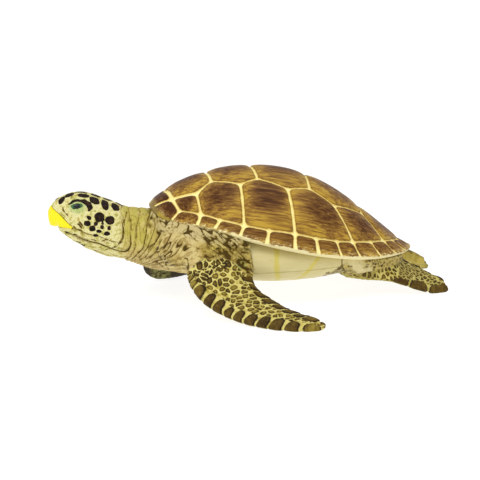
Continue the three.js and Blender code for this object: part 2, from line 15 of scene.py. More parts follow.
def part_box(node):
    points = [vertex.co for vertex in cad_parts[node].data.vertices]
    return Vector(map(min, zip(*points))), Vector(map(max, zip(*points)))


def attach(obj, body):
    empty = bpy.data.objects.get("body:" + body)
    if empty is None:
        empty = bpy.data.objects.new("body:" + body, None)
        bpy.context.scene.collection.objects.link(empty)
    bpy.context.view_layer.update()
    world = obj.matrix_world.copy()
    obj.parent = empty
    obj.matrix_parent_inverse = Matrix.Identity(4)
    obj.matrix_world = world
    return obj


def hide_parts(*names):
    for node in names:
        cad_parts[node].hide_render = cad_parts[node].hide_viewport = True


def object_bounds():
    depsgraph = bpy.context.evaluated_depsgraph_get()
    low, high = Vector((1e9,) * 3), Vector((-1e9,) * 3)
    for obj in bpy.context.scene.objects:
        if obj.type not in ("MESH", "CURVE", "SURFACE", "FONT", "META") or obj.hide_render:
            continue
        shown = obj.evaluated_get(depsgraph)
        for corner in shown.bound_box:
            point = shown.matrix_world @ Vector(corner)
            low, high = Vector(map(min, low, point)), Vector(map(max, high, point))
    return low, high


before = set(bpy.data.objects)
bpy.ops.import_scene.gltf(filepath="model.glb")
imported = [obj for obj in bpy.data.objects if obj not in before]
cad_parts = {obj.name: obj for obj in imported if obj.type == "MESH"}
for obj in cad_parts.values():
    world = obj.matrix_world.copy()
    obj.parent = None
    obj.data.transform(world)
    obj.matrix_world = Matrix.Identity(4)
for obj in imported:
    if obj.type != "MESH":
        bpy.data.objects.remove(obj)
cad_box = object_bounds()

MM = 0.001
BEAK_FRONT = -157.6
LEFT_EDGE = -126.0
ORIGIN = np.array([
    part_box("beak")[0].x / MM - BEAK_FRONT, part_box("fore_flipper_left")[0].y / MM - LEFT_EDGE, 0])

# Fields are sampled on grids of these pitches, and kept within a band of this width.
PITCH = 0.6
BEAK_PITCH = 0.3
BAND = 9.0
# The skin stays this far from what is set into it.
GAP = 0.25
# The pieces keep this far inside the box of the solids.
MARGIN = 0.02

# Carapace: a domed egg-shaped plan, pitched nose up.
SHELL_LENGTH = 183
SHELL_WIDTH = 142
SHELL_RISE = 37.4
SHELL_PITCH = math.radians(12.3)
SHELL_LIFT = 47
SHELL_EGG = 0.094
SHELL_APEX = -0.08
SHELL_SAG = 7.5
SHELL_SAG_FRONT = 4.8
SHOULDER_DROOP = 5
SHOULDER_PHI = math.radians(32)
SHOULDER_SPREAD = math.radians(15)
DOME_POWER = {"front": 0.82, "side": 1.15, "rear": 1.49}
UNDERSIDE_Z = -5
# Seam corners on one half of the plan: x as a share of the length, y of half the width.
ENDS = [(-0.295, 0.348), (-0.135, 0.407), (0.057, 0.418), (0.275, 0.295)]
MIDS = [(-0.311, 0), (-0.153, 0), (0.057, 0), (0.27, 0)]
PEAKS = [(-0.343, 0.451), (-0.196, 0.482), (-0.027, 0.514), (0.149, 0.497)]
# Corners of the ring seam: angle from the nose in degrees, share of the way from crown to rim.
RING = [
    (0, 0.9), (21, 0.9), (33, 0.935), (46.6, 0.93), (57, 0.935), (68.1, 0.93), (79, 0.92), (90.4, 0.908),
    (100, 0.915), (110, 0.915), (119.1, 0.908), (131, 0.9), (142.8, 0.892), (154, 0.895), (167, 0.905),
    (180, 0.91),
]
# Turn of a radial seam's end on the rim, in degrees.
RADIAL_TURN = {1: -9, 3: 2.5}
SEAM_DEPTH = 0.9
SEAM_HALF_WIDTH = 0.76
SEAM_CORNER = 0.7
SEAM_STEPS = 6
PLATE_CROWN = 1.4
MARGINAL_CROWN = 0.6
# The brow at a plate's edge, below which its crown starts.
PLATE_BROW = 0.25
# How dark the plates are painted, vertebrals first, and how far a costal's heart lies down its slope.
VERTEBRALS = 5
PLATE_STRENGTH = [0.95] * VERTEBRALS + [1, 1, 1, 0.85, 0.85]
HEART_SHIFT = 0.14
RIM_BULGE = 0.2
# Points round the dome and from crown to rim.
SHELL_TURNS = 760
SHELL_ROWS = 210
# Rolled edge below the rim: distance out, distance down. Then shares of the way in to the middle.
RIM_ROLL = [(0.15, 0.35), (0.1, 0.9), (-0.2, 1.5), (-0.8, 2.1), (-1.7, 2.6)]
UNDERSIDE_SHARES = (0.06, 0.2, 0.4, 0.6, 0.8, 0.96)

# Head, neck and trunk sections across X: x, top, bottom, half width.
HEAD_SECTIONS = [
    (-157.6, 64.5, 61, 1.5), (-156.8, 67, 56.2, 4.6), (-154.6, 70, 55, 7), (-151.6, 72.9, 54.4, 9.2),
    (-150.2, 73.7, 51.3, 10.1), (-146.5, 75.5, 48.6, 12), (-141, 77, 44.4, 13.9), (-135, 77.2, 40, 15.2),
    (-129, 75.9, 37, 15.9), (-122, 73.1, 33.7, 16.1), (-114, 69.6, 31.2, 16.3), (-106, 65.8, 28.8, 17.2),
    (-98, 63.9, 26, 19.2), (-90, 62, 24.6, 23), (-80, 59.4, 25, 25),
]
BOWL_SECTIONS = [
    (-95, 57, 30, 15), (-88, 59.6, 24.6, 30), (-77, 60, 21.6, 43), (-62, 59, 19, 53), (-46, 56, 16.2, 60),
    (-28, 52, 13.6, 65), (-8, 47.5, 12.3, 66), (12, 43, 12.8, 64), (30, 38.5, 14.6, 58), (48, 34.5, 17, 49),
    (64, 31, 19, 37), (76, 28.6, 21, 24), (83, 27, 23, 12),
]
TAIL_SECTIONS = [
    (66, 30, 20, 9), (78, 27.5, 17, 7), (88, 24, 14.6, 5.2), (96, 19.8, 12.4, 3.4), (101, 16.6, 11.6, 1.6),
]
SHOULDER = ((-58, 42, 42), (26, 19, 15))
HIP = ((50, 28, 23.5), (26, 19, 8.5))
EYELID = ((-136.6, 11.7, 68.6), (5.8, 1.9, 3.5))
EYE = ((-136.6, 12.1, 68.4), (4.4, 1.9, 2.1))
EYE_SWELL = 0.03
PUPIL_SHIFT = -0.2
# Lines over the hip, as x and z: the bridge's ivory reaches above the first and behind the second.
HIP_LINE = [(17, 20), (49, 31)]
HIP_FOLD = [(34, 26), (42, 17)]
# Roll of skin under the front of the shell: angles from the nose, place on the dome, drop and size.
LAP = {"from": math.radians(9), "to": math.radians(70), "rho": 0.97, "drop": 8, "radius": 6.6, "end": 1.4}
BEAK_PROFILE = [
    (-170, 72), (-156.2, 71), (-153.6, 67.6), (-150, 64.6), (-146.6, 61), (-143.6, 57.4), (-140.6, 54.6),
    (-141.6, 53.6), (-147, 54.4), (-151.4, 55.4), (-152.4, 52), (-170, 52),
]
PLASTRON_LOBE = {"centre": 0, "length": 58, "width": 34}
PLASTRON_BRIDGE = {"centre": -1, "length": 37, "width": 40, "fullness": 6}
PLASTRON_THICKNESS = 4
# Nearer the middle than the side, the plastron ends at the top.
PLASTRON_SIDE = 45
PLASTRON_TOP = 40
CREASE_Z = 24.2

# Flippers: leading edge, trailing edge and thickness from root to tip.
FLIPPERS = {
    "fore_left": [
        ((-62, -30, 44), (-30, -32, 42), 28), ((-67, -57, 33), (-34, -54, 40), 20),
        ((-68, -64, 25), (-29.5, -61, 29), 17), ((-64.3, -73, 16.6), (-28, -67, 19), 13.5),
        ((-56.6, -83, 9.8), (-23.5, -74, 13), 10.5), ((-46.3, -93.5, 5.2), (-17.5, -82.5, 9.6), 8.5),
        ((-35.2, -104.5, 2.5), (-11.5, -92.5, 6.9), 7), ((-21.5, -117, 1.2), (-3.8, -104, 5), 5.6),
        ((-9.5, -124, 0.9), (1, -113.5, 5), 4.6), ((1.5, -126, 0.9), (5, -119.5, 3.6), 3.4),
        ((6, -124.6, 1.8), (6.6, -121.5, 2.8), 1.8),
    ],
    "fore_right": [
        ((-66, 30, 44), (-34, 32, 42), 28), ((-86, 47, 34), (-51, 52, 40), 20),
        ((-95, 59, 24), (-59, 64, 30), 17), ((-97.5, 67, 12), (-62.5, 74, 19), 13.5),
        ((-93, 72, 3.6), (-60, 83, 10.8), 10.5), ((-82.5, 77.6, 1.4), (-53, 94, 8), 8.5),
        ((-69.5, 87, 0.8), (-44.5, 105.5, 6.2), 7), ((-56, 99.5, 0.3), (-36, 116, 4.6), 5.6),
        ((-42, 109, 0.1), (-28, 121.5, 3.8), 4.6), ((-29, 118, 0.3), (-22, 125, 2.8), 3.4),
        ((-24, 122.4, 1.2), (-21.8, 125.4, 2.2), 1.8),
    ],
    "hind_left": [
        ((27, -32, 20.5), (38, -8, 24), 12), ((45, -41.5, 14.4), (54, -14, 23.5), 12),
        ((64, -46.5, 11.4), (72, -18, 20.5), 9), ((80, -47.5, 5), (86, -22, 15.6), 6.4),
        ((92, -46.5, 0.9), (94, -28, 11.4), 4.8), ((100, -45, -0.2), (101, -35, 8), 3.6),
        ((103.4, -43, 0.8), (103.4, -38, 4.6), 1.8),
    ],
    "hind_right": [
        ((32, 31, 20.5), (42, 8, 24), 12), ((52, 41, 14.6), (61, 14, 23.6), 12),
        ((72, 46, 10.6), (79, 19, 19.6), 9), ((90, 49, 4.6), (94, 27, 15.4), 6.4),
        ((103.5, 50, 0.8), (104.5, 34, 10.6), 4.8), ((113, 49, -0.2), (113, 40, 6.4), 3.6),
        ((117, 48, 0.4), (117, 43.6, 2.4), 1.8),
    ],
}
# Scales of a flipper, in millimetres: where the edge rows start, their step at the start and the tip,
# the reach in from each edge, where the bare skin and the arm's cross rows end, the small scales between,
# how much paler the tip is, and how far the first scales are drawn out towards the body.
SCALING = {
    "fore": {"start": 33, "step": (6.2, 10), "reach": 9.6, "gap": 0.6, "lift": 0.95, "skin": 33,
             "trail_start": 52, "trail_step": 9, "trail_reach": 7.6, "arm": 50, "small": (4.0, 4.2),
             "faded": 0.3, "early": 9},
    "hind": {"start": 39.8, "step": (10, 20.6), "reach": 5.6, "gap": 0.7, "lift": 1.2, "skin": 8,
             "trail_start": 44, "trail_step": 8, "trail_reach": 3.6, "arm": 0, "small": (2.7, 2.9),
             "faded": 0, "early": 0},
}
# Where each kind of skin starts and is full, along X.
ZONES = {"head": (-104, -112), "ivory": (-30, -20), "pebbly": (8, 20), "hind": (20, 34), "tail": (78, 84)}
# Greenish patch behind the shoulder: x, z and size. Span along X of the far flipper's painted shade.
MOSS = (-34.5, 32, 4)
FAR_SPAN = (-97, -70)
SKIN_NODES = [
    "head", "lower_jaw", "neck", "trunk", "tail",
    "fore_flipper_left", "fore_flipper_right", "hind_flipper_left", "hind_flipper_right",
]


# Small mathematics

def mix(a, b, t):
    return a + (b - a) * t


def ramp(low, high, value):
    """0 below low, 1 above high, smooth between."""
    t = np.clip((value - low) / (high - low), 0, 1)
    return t * t * (3 - 2 * t)


def smooth_low(a, b, radius):
    """The lower of two numbers, with the corner between them rounded."""
    overlap = np.maximum(radius - np.abs(a - b), 0) / radius
    return np.minimum(a, b) - overlap**2 * radius / 4


def unit(vectors):
    return vectors / np.maximum(np.linalg.norm(vectors, axis=-1, keepdims=True), 1e-9)


def curve(keys, count):
    """Smooth curve through evenly counted keys, read at count places."""
    keys = np.asarray(keys, float)
    at = np.linspace(0, len(keys) - 1, count)
    k = np.minimum(at.astype(int), len(keys) - 2)
    t = (at - k)[:, None]
    a, b, c, d = (keys[np.clip(k + i, 0, len(keys) - 1)] for i in (-1, 0, 1, 2))
    return 0.5 * (2 * b + (c - a) * t + (2 * a - 5 * b + 4 * c - d) * t**2 + (3 * b - a - 3 * c + d) * t**3)


def hashed(cells, salt):
    """A number from 0 to 1 for each whole-numbered cell."""
    primes = np.array([73856093, 19349663, 83492791], np.int64)[: cells.shape[-1]]
    h = (cells.astype(np.int64) * primes).sum(-1) + salt * 2654435761
    h = ((h ^ (h >> 16)) * 73244475) & 0xFFFFFFFF
    h = ((h ^ (h >> 16)) * 73244475) & 0xFFFFFFFF
    return ((h ^ (h >> 16)) & 0xFFFF) / 0xFFFF


def noise(points, size, salt=0):
    """Smooth noise from -1 to 1, with features about size millimetres wide; size may differ by axis."""
    p = points / np.asarray(size, float) + salt * 11.7
    cell = np.floor(p)
    f = p - cell
    f = f * f * (3 - 2 * f)
    total = np.zeros(len(p))
    for corner in np.ndindex(*(2,) * p.shape[1]):
        weight = np.prod(np.where(corner, f, 1 - f), axis=1)
        total += weight * hashed(cell + corner, salt)
    return total * 2 - 1


def cells(points, size, jitter=0.75, salt=0):
    """Jittered cells: distance to the border and to the middle, and a number from 0 to 1 for each cell."""
    size = np.asarray(size, float)
    base = np.floor(points / size)
    around = [np.array(step) - 1 for step in np.ndindex(*(3,) * points.shape[1])]

    def centre(cell):
        shift = np.stack([hashed(cell, salt + axis + 1) for axis in range(points.shape[1])], axis=1)
        middle = cell + 0.5 + (shift - 0.5) * jitter
        middle[:, 0] += 0.5 * (np.mod(cell[:, 1], 2) - 0.5)
        return middle * size

    nearest = np.full(len(points), np.inf)
    owner = np.zeros_like(points)
    home = np.zeros_like(base)
    for step in around:
        c = centre(base + step)
        d = np.linalg.norm(points - c, axis=1)
        closer = d < nearest
        nearest[closer], owner[closer], home[closer] = d[closer], c[closer], (base + step)[closer]
    border = np.full(len(points), np.inf)
    for step in around:
        c = centre(base + step)
        between = c - owner
        length = np.linalg.norm(between, axis=1)
        d = (((owner + c) / 2 - points) * between).sum(1) / np.maximum(length, 1e-6)
        border = np.where(length > 1e-6, np.minimum(border, d), border)
    return border, nearest, hashed(home, salt + 9)


# Surfaces and fields

def rings(x, y, z):
    """Points from coordinates whose shapes broadcast together."""
    return np.stack(np.broadcast_arrays(x, y, z), axis=-1)


def grid_quads(rows, columns):
    """Faces between closed rows of points."""
    k, i = np.meshgrid(np.arange(rows - 1), np.arange(columns), indexing="ij")
    a, b = (k * columns + i).ravel(), (k * columns + (i + 1) % columns).ravel()
    return np.stack([a, a + columns, b + columns, b], 1)


def split(quads):
    return np.concatenate([quads[:, :3], quads[:, [0, 2, 3]]])


def tube(rows):
    """Points and triangles of rows joined in order, with a fan at each end."""
    n, m, _ = rows.shape
    points = np.concatenate([rows.reshape(-1, 3), rows[[0, -1]].mean(1)])
    i = np.arange(m)
    first = np.stack([i, (i + 1) % m, np.full(m, n * m)], 1)
    last = np.stack([(i + 1) % m, i, np.full(m, n * m + 1)], 1) + [(n - 1) * m, (n - 1) * m, 0]
    return points, np.concatenate([split(grid_quads(n, m)), first, last])


def swept(path, out, up, half, thick, section):
    """Tube along a path, of a section drawn by two directions and half sizes."""
    c, s = section
    wide, high = (half[:, None] * c)[..., None], (thick[:, None] * s)[..., None]
    return tube(path[:, None] + out[:, None] * wide + up[:, None] * high)


def around(count, fullness=2.0):
    """Unit superellipse."""
    angle = np.arange(count) / count * 2 * np.pi
    c, s = np.cos(angle), np.sin(angle)
    return np.sign(c) * np.abs(c) ** (2 / fullness), np.sign(s) * np.abs(s) ** (2 / fullness)


def sectioned(sections, fullness):
    """Body whose sections lie across X."""
    x, top, bottom, half = curve(sections, len(sections) * 12).T[..., None]
    c, s = around(96, fullness)
    return tube(rings(x, np.maximum(half, 0.5) * c, (top + bottom) / 2 + (top - bottom) / 2 * s))


def ellipsoid(centre, radii, side=1, rows=40, columns=64, tip=0.01, swell=0.0):
    """Ball stretched to its radii, on the turtle's right, or on its left where side is -1."""
    theta = np.linspace(tip, np.pi - tip, rows)[:, None]
    phi = np.arange(columns) / columns * 2 * np.pi
    wide = (1 + swell * np.cos(theta) ** 4) * np.sin(theta)
    return tube(rings(
        centre[0] + radii[0] * wide * np.cos(phi),
        side * centre[1] + radii[1] * wide * np.sin(phi),
        centre[2] + radii[2] * np.cos(theta)))


def flipper_frames(keys, count=120):
    """Stations along a flipper: middle, directions along, out to the leading edge and up, and sizes."""
    lead, trail = curve([k[0] for k in keys], count), curve([k[1] for k in keys], count)
    thickness = curve([[k[2]] for k in keys], count)[:, 0]
    middle = (lead + trail) / 2
    along = unit(np.gradient(middle, axis=0))
    out = unit(lead - trail)
    up = unit(np.cross(along, out))
    up *= np.sign(up[:, 2:])
    width = np.linalg.norm(lead - trail, axis=1)
    travel = np.concatenate([[0], np.cumsum(np.linalg.norm(np.diff(middle, axis=0), axis=1))])
    return {"middle": middle, "along": along, "out": out, "up": up,
            "half": width / 2, "thick": thickness / 2, "travel": travel}


def flipper(frames):
    return swept(*(frames[key] for key in ("middle", "out", "up", "half", "thick")), around(64, 2.3))


def level_set(points, triangles, pitch=PITCH):
    """Distance to a closed surface on the grid, negative inside: lowest cell and array."""
    grid = openvdb.FloatGrid.createLevelSetFromPolygons(
        np.ascontiguousarray(points, np.float32), triangles=np.ascontiguousarray(triangles, np.uint32),
        transform=openvdb.createLinearTransform(voxelSize=pitch), halfWidth=BAND / pitch)
    low, high = grid.evalActiveVoxelBoundingBox()
    array = np.empty([h - l + 1 for l, h in zip(low, high)], np.float32)
    grid.copyToArray(array, ijk=low)
    return np.array(low), array


class Field:
    """Signed distance over a box, with smooth joining and cutting."""

    def __init__(self, low, high, pitch=PITCH):
        self.pitch = pitch
        self.low = np.floor(np.array(low) / pitch).astype(int)
        self.array = np.full(np.ceil(np.array(high) / pitch).astype(int) - self.low, BAND, np.float32)

    def window(self, part):
        """The part's array and the same cells of this field."""
        low, array = part
        start = np.maximum(low - self.low, 0)
        stop = np.minimum(low - self.low + array.shape, self.array.shape)
        mine = tuple(slice(a, b) for a, b in zip(start, stop))
        shift = self.low - low
        theirs = tuple(slice(a, b) for a, b in zip(start + shift, stop + shift))
        return mine, array[theirs]

    def join(self, part, radius):
        mine, other = self.window(part)
        self.array[mine] = smooth_low(self.array[mine], other, radius)

    def cut(self, part, radius, grow=0.0):
        mine, other = self.window(part)
        self.array[mine] = -smooth_low(-self.array[mine], other - grow, radius)

    def grid_points(self):
        """Coordinates of the grid along each axis."""
        return [(low + np.arange(size)) * self.pitch for low, size in zip(self.low, self.array.shape)]

    def surface(self):
        """Points and outward quads of the zero level."""
        grid = openvdb.FloatGrid(background=BAND)
        grid.transform = openvdb.createLinearTransform(voxelSize=self.pitch)
        grid.copyFromArray(np.clip(self.array, -BAND, BAND), ijk=tuple(int(v) for v in self.low))
        points, _, quads = grid.convertToPolygons(isovalue=0.0, adaptivity=0.0)
        quads = np.asarray(quads, np.int64)
        points = np.asarray(points, float)
        a, b, c, d = (points[quads[:, i]] for i in range(4))
        volume = (a * np.cross(b, c)).sum() + (a * np.cross(c, d)).sum()
        return points, quads if volume > 0 else quads[:, ::-1]


def sample(part, points):
    """A part's distance at points, by the nearest eight cells."""
    low, array = part
    p = points / PITCH - low
    cell = np.floor(p).astype(int)
    inside = ((cell >= 0) & (cell < np.array(array.shape) - 1)).all(1)
    value = np.full(len(points), BAND)
    cell, f = cell[inside], (p - cell)[inside]
    total = np.zeros(len(cell))
    for corner in np.ndindex(2, 2, 2):
        weight = np.prod(np.where(corner, f, 1 - f), axis=1)
        total += weight * array[tuple((cell + corner).T)]
    value[inside] = total
    return value


def normals_of(points, faces):
    a, b, c, d = (points[faces[:, i]] for i in range(4))
    across = np.cross(c - a, d - b)
    total = np.zeros_like(points)
    for i in range(4):
        for axis in range(3):
            total[:, axis] += np.bincount(faces[:, i], across[:, axis], len(points))
    return unit(total)


def make_piece(name, points, faces, slot, replaced, material, **attributes):
    """A smooth mesh piece on the body, with a float attribute for each named field."""
    low, high = (np.array(corner) / MM - ORIGIN for corner in cad_box)
    points = np.clip(points, low + MARGIN, high - MARGIN)
    mesh = bpy.data.meshes.new(name)
    faces = np.asarray(faces, np.int32)
    mesh.vertices.add(len(points))
    mesh.vertices.foreach_set("co", ((points + ORIGIN) * MM).astype(np.float32).ravel())
    mesh.loops.add(faces.size)
    mesh.loops.foreach_set("vertex_index", faces.ravel())
    mesh.polygons.add(len(faces))
    mesh.polygons.foreach_set("loop_start", np.arange(0, faces.size, faces.shape[1], dtype=np.int32))
    mesh.update(calc_edges=True)
    mesh.validate()
    for key, values in attributes.items():
        layer = mesh.attributes.new(key, "FLOAT", "POINT")
        layer.data.foreach_set("value", np.asarray(values, np.float32))
    mesh.shade_smooth()
    piece = bpy.data.objects.new(name, mesh)
    bpy.context.scene.collection.objects.link(piece)
    piece.data.materials.append(material)
    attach(piece, "root")
    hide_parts(*replaced)


# Carapace

def shell_outline(phi):
    return (-SHELL_LENGTH / 2 * np.cos(phi),
            SHELL_WIDTH / 2 * np.sin(phi) * (1 + SHELL_EGG * np.cos(phi)))


def dome(phi, rho):
    """Points of the dome before the pitch, from angle and share of the way from crown to rim."""
    ox, oy = shell_outline(phi)
    ax = SHELL_APEX * SHELL_LENGTH / 2
    c = np.cos(phi)
    end = np.where(c > 0, DOME_POWER["front"], DOME_POWER["rear"])
    power = mix(DOME_POWER["side"], end, c * c)
    rise = SHELL_RISE * np.maximum(1 - rho**2, 0) ** power
    off = (np.abs(phi) - SHOULDER_PHI) / SHOULDER_SPREAD
    sag = np.sin(phi) ** 2 * (SHELL_SAG - SHELL_SAG_FRONT * c) + SHOULDER_DROOP * np.exp(-off * off)
    return rings(ax + rho * (ox - ax), rho * oy, rise - rho**6 * sag)


def dome_normal(phi, rho):
    step = 1e-3
    rho = np.minimum(rho, 1 - step)
    here = dome(phi, rho)
    across = np.cross(dome(phi + step, rho) - here, dome(phi, rho - step) - here)
    return unit(across) * np.sign(across[..., 2:])


def pitched(p):
    """Points of the dome as the shell sits on the body, nose up."""
    c, s = math.cos(SHELL_PITCH), math.sin(SHELL_PITCH)
    return rings(c * p[..., 0] + s * p[..., 2], p[..., 1], SHELL_LIFT - s * p[..., 0] + c * p[..., 2])


def polar_of(x, y):
    """Angle and share of the way to the rim of points of the plan, both as arrays."""
    ax = SHELL_APEX * SHELL_LENGTH / 2
    low, high = np.zeros(len(x)), np.full(len(x), np.pi)
    for _ in range(40):
        mid = (low + high) / 2
        ox, oy = shell_outline(mid)
        past = (ox - ax) * np.abs(y) - oy * (x - ax) > 0
        high, low = np.where(past, mid, high), np.where(past, low, mid)
    ox, oy = shell_outline(low)
    return np.where(y < 0, -low, low), np.hypot(x - ax, y) / np.hypot(ox - ax, oy)


def ring_corner(k, rho=None):
    """Corner of the ring seam, or the rim's end of the radial seam that starts there."""
    phi, share = RING[k]
    turn = 0 if rho is None else RADIAL_TURN.get(k, 0)
    return dome(np.radians(phi + turn), np.array(share if rho is None else rho))[:2]


def seam_corners():
    """Corners of the ring seam, then of the large plates, on the right half of the plan."""
    inner = (np.array(group) * [SHELL_LENGTH, SHELL_WIDTH / 2] for group in (ENDS, MIDS, PEAKS))
    return [ring_corner(k) for k in range(len(RING))], *inner


def seam_lines():
    """Seams of the right half of the plan: start, end and extra half width at each."""
    ring, ends, mids, peaks = seam_corners()
    lines = [(ring[k], ring[k + 1], -0.2, -0.2) for k in range(2, len(RING) - 1)]
    lines += [(ring[k], ring_corner(k, 1.02), *((-0.05, 0.75) if k < 9 else (-0.25, 0.1)))
              for k in range(1, len(RING))]
    lines += [(ring[0], ring[1], 0.5, 0.5), (ring[1], ring[2], 0.5, 0)]
    lines += [(ring[1], peaks[0], 0.5, 0.9), (peaks[0], ends[0], 0.4, 0)]
    for k in range(4):
        lines += [(ends[k], mids[k], 0.1, 0.2)]
        if k:
            lines += [(peaks[k], ends[k], 0, 0), (ends[k - 1], peaks[k], 0, 0)]
    lines += [(ends[3], ring[12], 0, 0), (ring[3], peaks[0], 0, 0.2)]
    lines += [(ring[5], peaks[1], 0.1, 0.1), (ring[7], peaks[2], 0.15, 0.15), (ring[10], peaks[3], 0, 0)]
    return lines


def plate_outlines():
    """Corners of the large plates on the right half of the plan: five vertebral, five costal."""
    ring, ends, mids, peaks = seam_corners()
    plates = [[ring[0], ring[1], peaks[0], ends[0], mids[0]]]
    plates += [[mids[k - 1], ends[k - 1], peaks[k], ends[k], mids[k]] for k in (1, 2, 3)]
    plates += [
        [mids[3], ends[3], *ring[12:]],
        [ring[1], ring[2], ring[3], peaks[0]],
        [peaks[0], *ring[3:6], peaks[1], ends[0]],
        [peaks[1], *ring[5:8], peaks[2], ends[1]],
        [peaks[2], *ring[7:11], peaks[3], ends[2]],
        [peaks[3], *ring[10:13], ends[3]],
    ]
    return [np.array(p) for p in plates]


def inside(outline, x, y):
    """Which points of the plan lie inside an outline."""
    within = np.zeros(len(x), bool)
    for (x0, y0), (x1, y1) in zip(outline, np.roll(outline, -1, axis=0)):
        crosses = (y0 > y) != (y1 > y)
        within ^= crosses & (x < x0 + (y - y0) * (x1 - x0) / (y1 - y0 if y1 != y0 else 1))
    return within


def seam_edge(points):
    """Distance from points of the dome to the nearest painted seam, rounded at the plates' corners."""
    folded = np.stack([points[:, 0], np.abs(points[:, 1]), points[:, 2]], 1)
    total = np.full(len(points), 1e-290)
    for start, end, first, last in seam_lines():
        plan = mix(start, end, np.linspace(0, 1, SEAM_STEPS + 1)[:, None])
        line = dome(*polar_of(plan[:, 0], plan[:, 1]))
        near = np.full(len(points), np.inf)
        for k, (a, b) in enumerate(zip(line, line[1:])):
            run = b - a
            t = np.clip((folded - a) @ run / (run @ run), 0, 1)
            half = SEAM_HALF_WIDTH + mix(first, last, (k + t) / SEAM_STEPS)
            near = np.minimum(near, np.linalg.norm(folded - a - t[:, None] * run, axis=1) - half)
        total += np.exp(-near / SEAM_CORNER)
    return -SEAM_CORNER * np.log(total)


def plate_tone(x, y):
    """How dark each point's own plate is painted, from 0 at its edges to 1 at its heart."""
    tone = np.zeros(len(x))
    for k, outline in enumerate(plate_outlines()):
        here = inside(outline, x, np.abs(y))
        low, high = outline.min(0), outline.max(0)
        costal = k >= VERTEBRALS
        if not costal:
            low[1] = -high[1]
        centre, half = (low + high) / 2, (high - low) / 2
        centre[1] -= HEART_SHIFT * half[1] * costal
        qx = (x[here] - centre[0]) / half[0]
        qy = (np.abs(y[here]) if costal else y[here]) - centre[1]
        far = (np.abs(qx) ** 2.6 + np.abs(qy / half[1]) ** 2.4) ** 0.4
        tone[here] = (1 - ramp(0.25, 0.95, far)) * PLATE_STRENGTH[k]
    return tone


def build_carapace(material):
    """Dense dome with raised plates between sunk seams, a rolled edge and an underside."""
    turns = SHELL_TURNS
    phi = (np.arange(turns) / turns * 2 - 1) * np.pi
    rho = np.sin(np.linspace(0.004, 1, SHELL_ROWS) * np.pi / 2) ** 0.9
    phi, rho = (g.ravel() for g in np.meshgrid(phi, rho))
    off = np.abs(np.degrees(phi))
    base = dome(phi, rho)
    edge = seam_edge(base) + 0.22 * noise(base, 3.5, 3) + 0.12 * noise(base, 1.2, 4)
    ring = np.interp(off, [k[0] for k in RING], [k[1] for k in RING])
    marginal = ramp(-0.006, 0.006, rho - ring)
    crown = mix(PLATE_CROWN, MARGINAL_CROWN, marginal) - PLATE_BROW
    lift = -SEAM_DEPTH + (SEAM_DEPTH + PLATE_BROW) * ramp(-0.75, 0.55, edge)
    lift += crown * (1 - np.exp(-np.maximum(edge, 0) / mix(3.2, 1.6, marginal)))
    lift += RIM_BULGE * ramp(0.97, 1.0, rho) * ramp(0, 1.5, edge)
    lift += 0.05 * noise(base, (14, 1.6, 1.6), 5) * ramp(0, 1.5, edge)
    lift = mix(lift, 0.05, ramp(0.955, 0.995, rho))
    top = base + dome_normal(phi, rho) * lift[:, None]

    rim, floor = top[-turns:], np.array([0, 0, UNDERSIDE_Z])
    out = unit(rim * [1, 1, 0])
    rolls = [rim + out * o - [0, 0, down] for o, down in RIM_ROLL]
    rolls += [mix(rolls[-1], floor, share) for share in UNDERSIDE_SHARES]
    peak = dome(np.zeros(1), np.zeros(1)) + [0, 0, PLATE_CROWN]
    points = pitched(np.concatenate([top, *rolls, peak, [floor]]))
    even = np.arange(0, turns, 2)
    fan = np.stack([even, even + 1, np.roll(even, -1)], 1)
    pole, last = len(points) - 2, (SHELL_ROWS + len(rolls) - 1) * turns
    faces = np.concatenate([
        grid_quads(SHELL_ROWS + len(rolls), turns)[:, [0, 3, 2, 1]],
        np.insert(fan[:, ::-1], 0, pole, axis=1), np.insert(last + fan, 0, pole + 1, axis=1)])
    volume = (points[faces[:, 0]] * np.cross(points[faces[:, 1]], points[faces[:, 2]])).sum()
    faces = faces if volume > 0 else faces[:, ::-1]

    def carried(values, poles=0):
        """Values of the dome, carried on from the rim over the rolled edge and the underside."""
        return np.concatenate([values, np.tile(values[-turns:], len(rolls)), [poles, poles]])

    tone = mix(plate_tone(base[:, 0], base[:, 1]), ramp(35, 31, off), marginal)
    nape = np.maximum(ramp(15, 11, off) * ramp(0.955, 0.985, rho), ramp(36, 32, off) * ramp(0.98, 0.995, rho))
    depth = np.repeat(np.arange(1, len(rolls) + 1), turns)
    make_piece("carapace_shell", points, faces, "carapace", ["carapace"], material,
               edge=carried(edge, 5), tone=np.concatenate([tone, np.zeros(len(points) - len(top))]),
               under=np.concatenate([np.zeros(len(top)), depth, [0, len(rolls)]]),
               marginal=carried(marginal, 1), fall=carried(np.clip((rho - ring) / (1 - ring), 0, 1), 1),
               lapped=carried(ramp(72, 64, off)), nape=carried(nape))
    return points, faces


# Flesh

def lap(side, steps=60):
    """Round roll of skin following the carapace margin above one shoulder."""
    t = np.linspace(-0.02, 1.02, steps + 2)
    phi = side * mix(LAP["from"], LAP["to"], t)
    path = pitched(dome(phi, np.full(len(t), LAP["rho"]))) - [0, 0, LAP["drop"]]
    along = unit(np.gradient(path, axis=0))
    out = unit(rings(along[:, 1], -along[:, 0], 0))
    size = mix(LAP["end"], LAP["radius"], np.sin(np.clip(t, 0, 1) * np.pi) ** 0.6)
    return swept(path, out, np.cross(along, out), size, size, around(32))


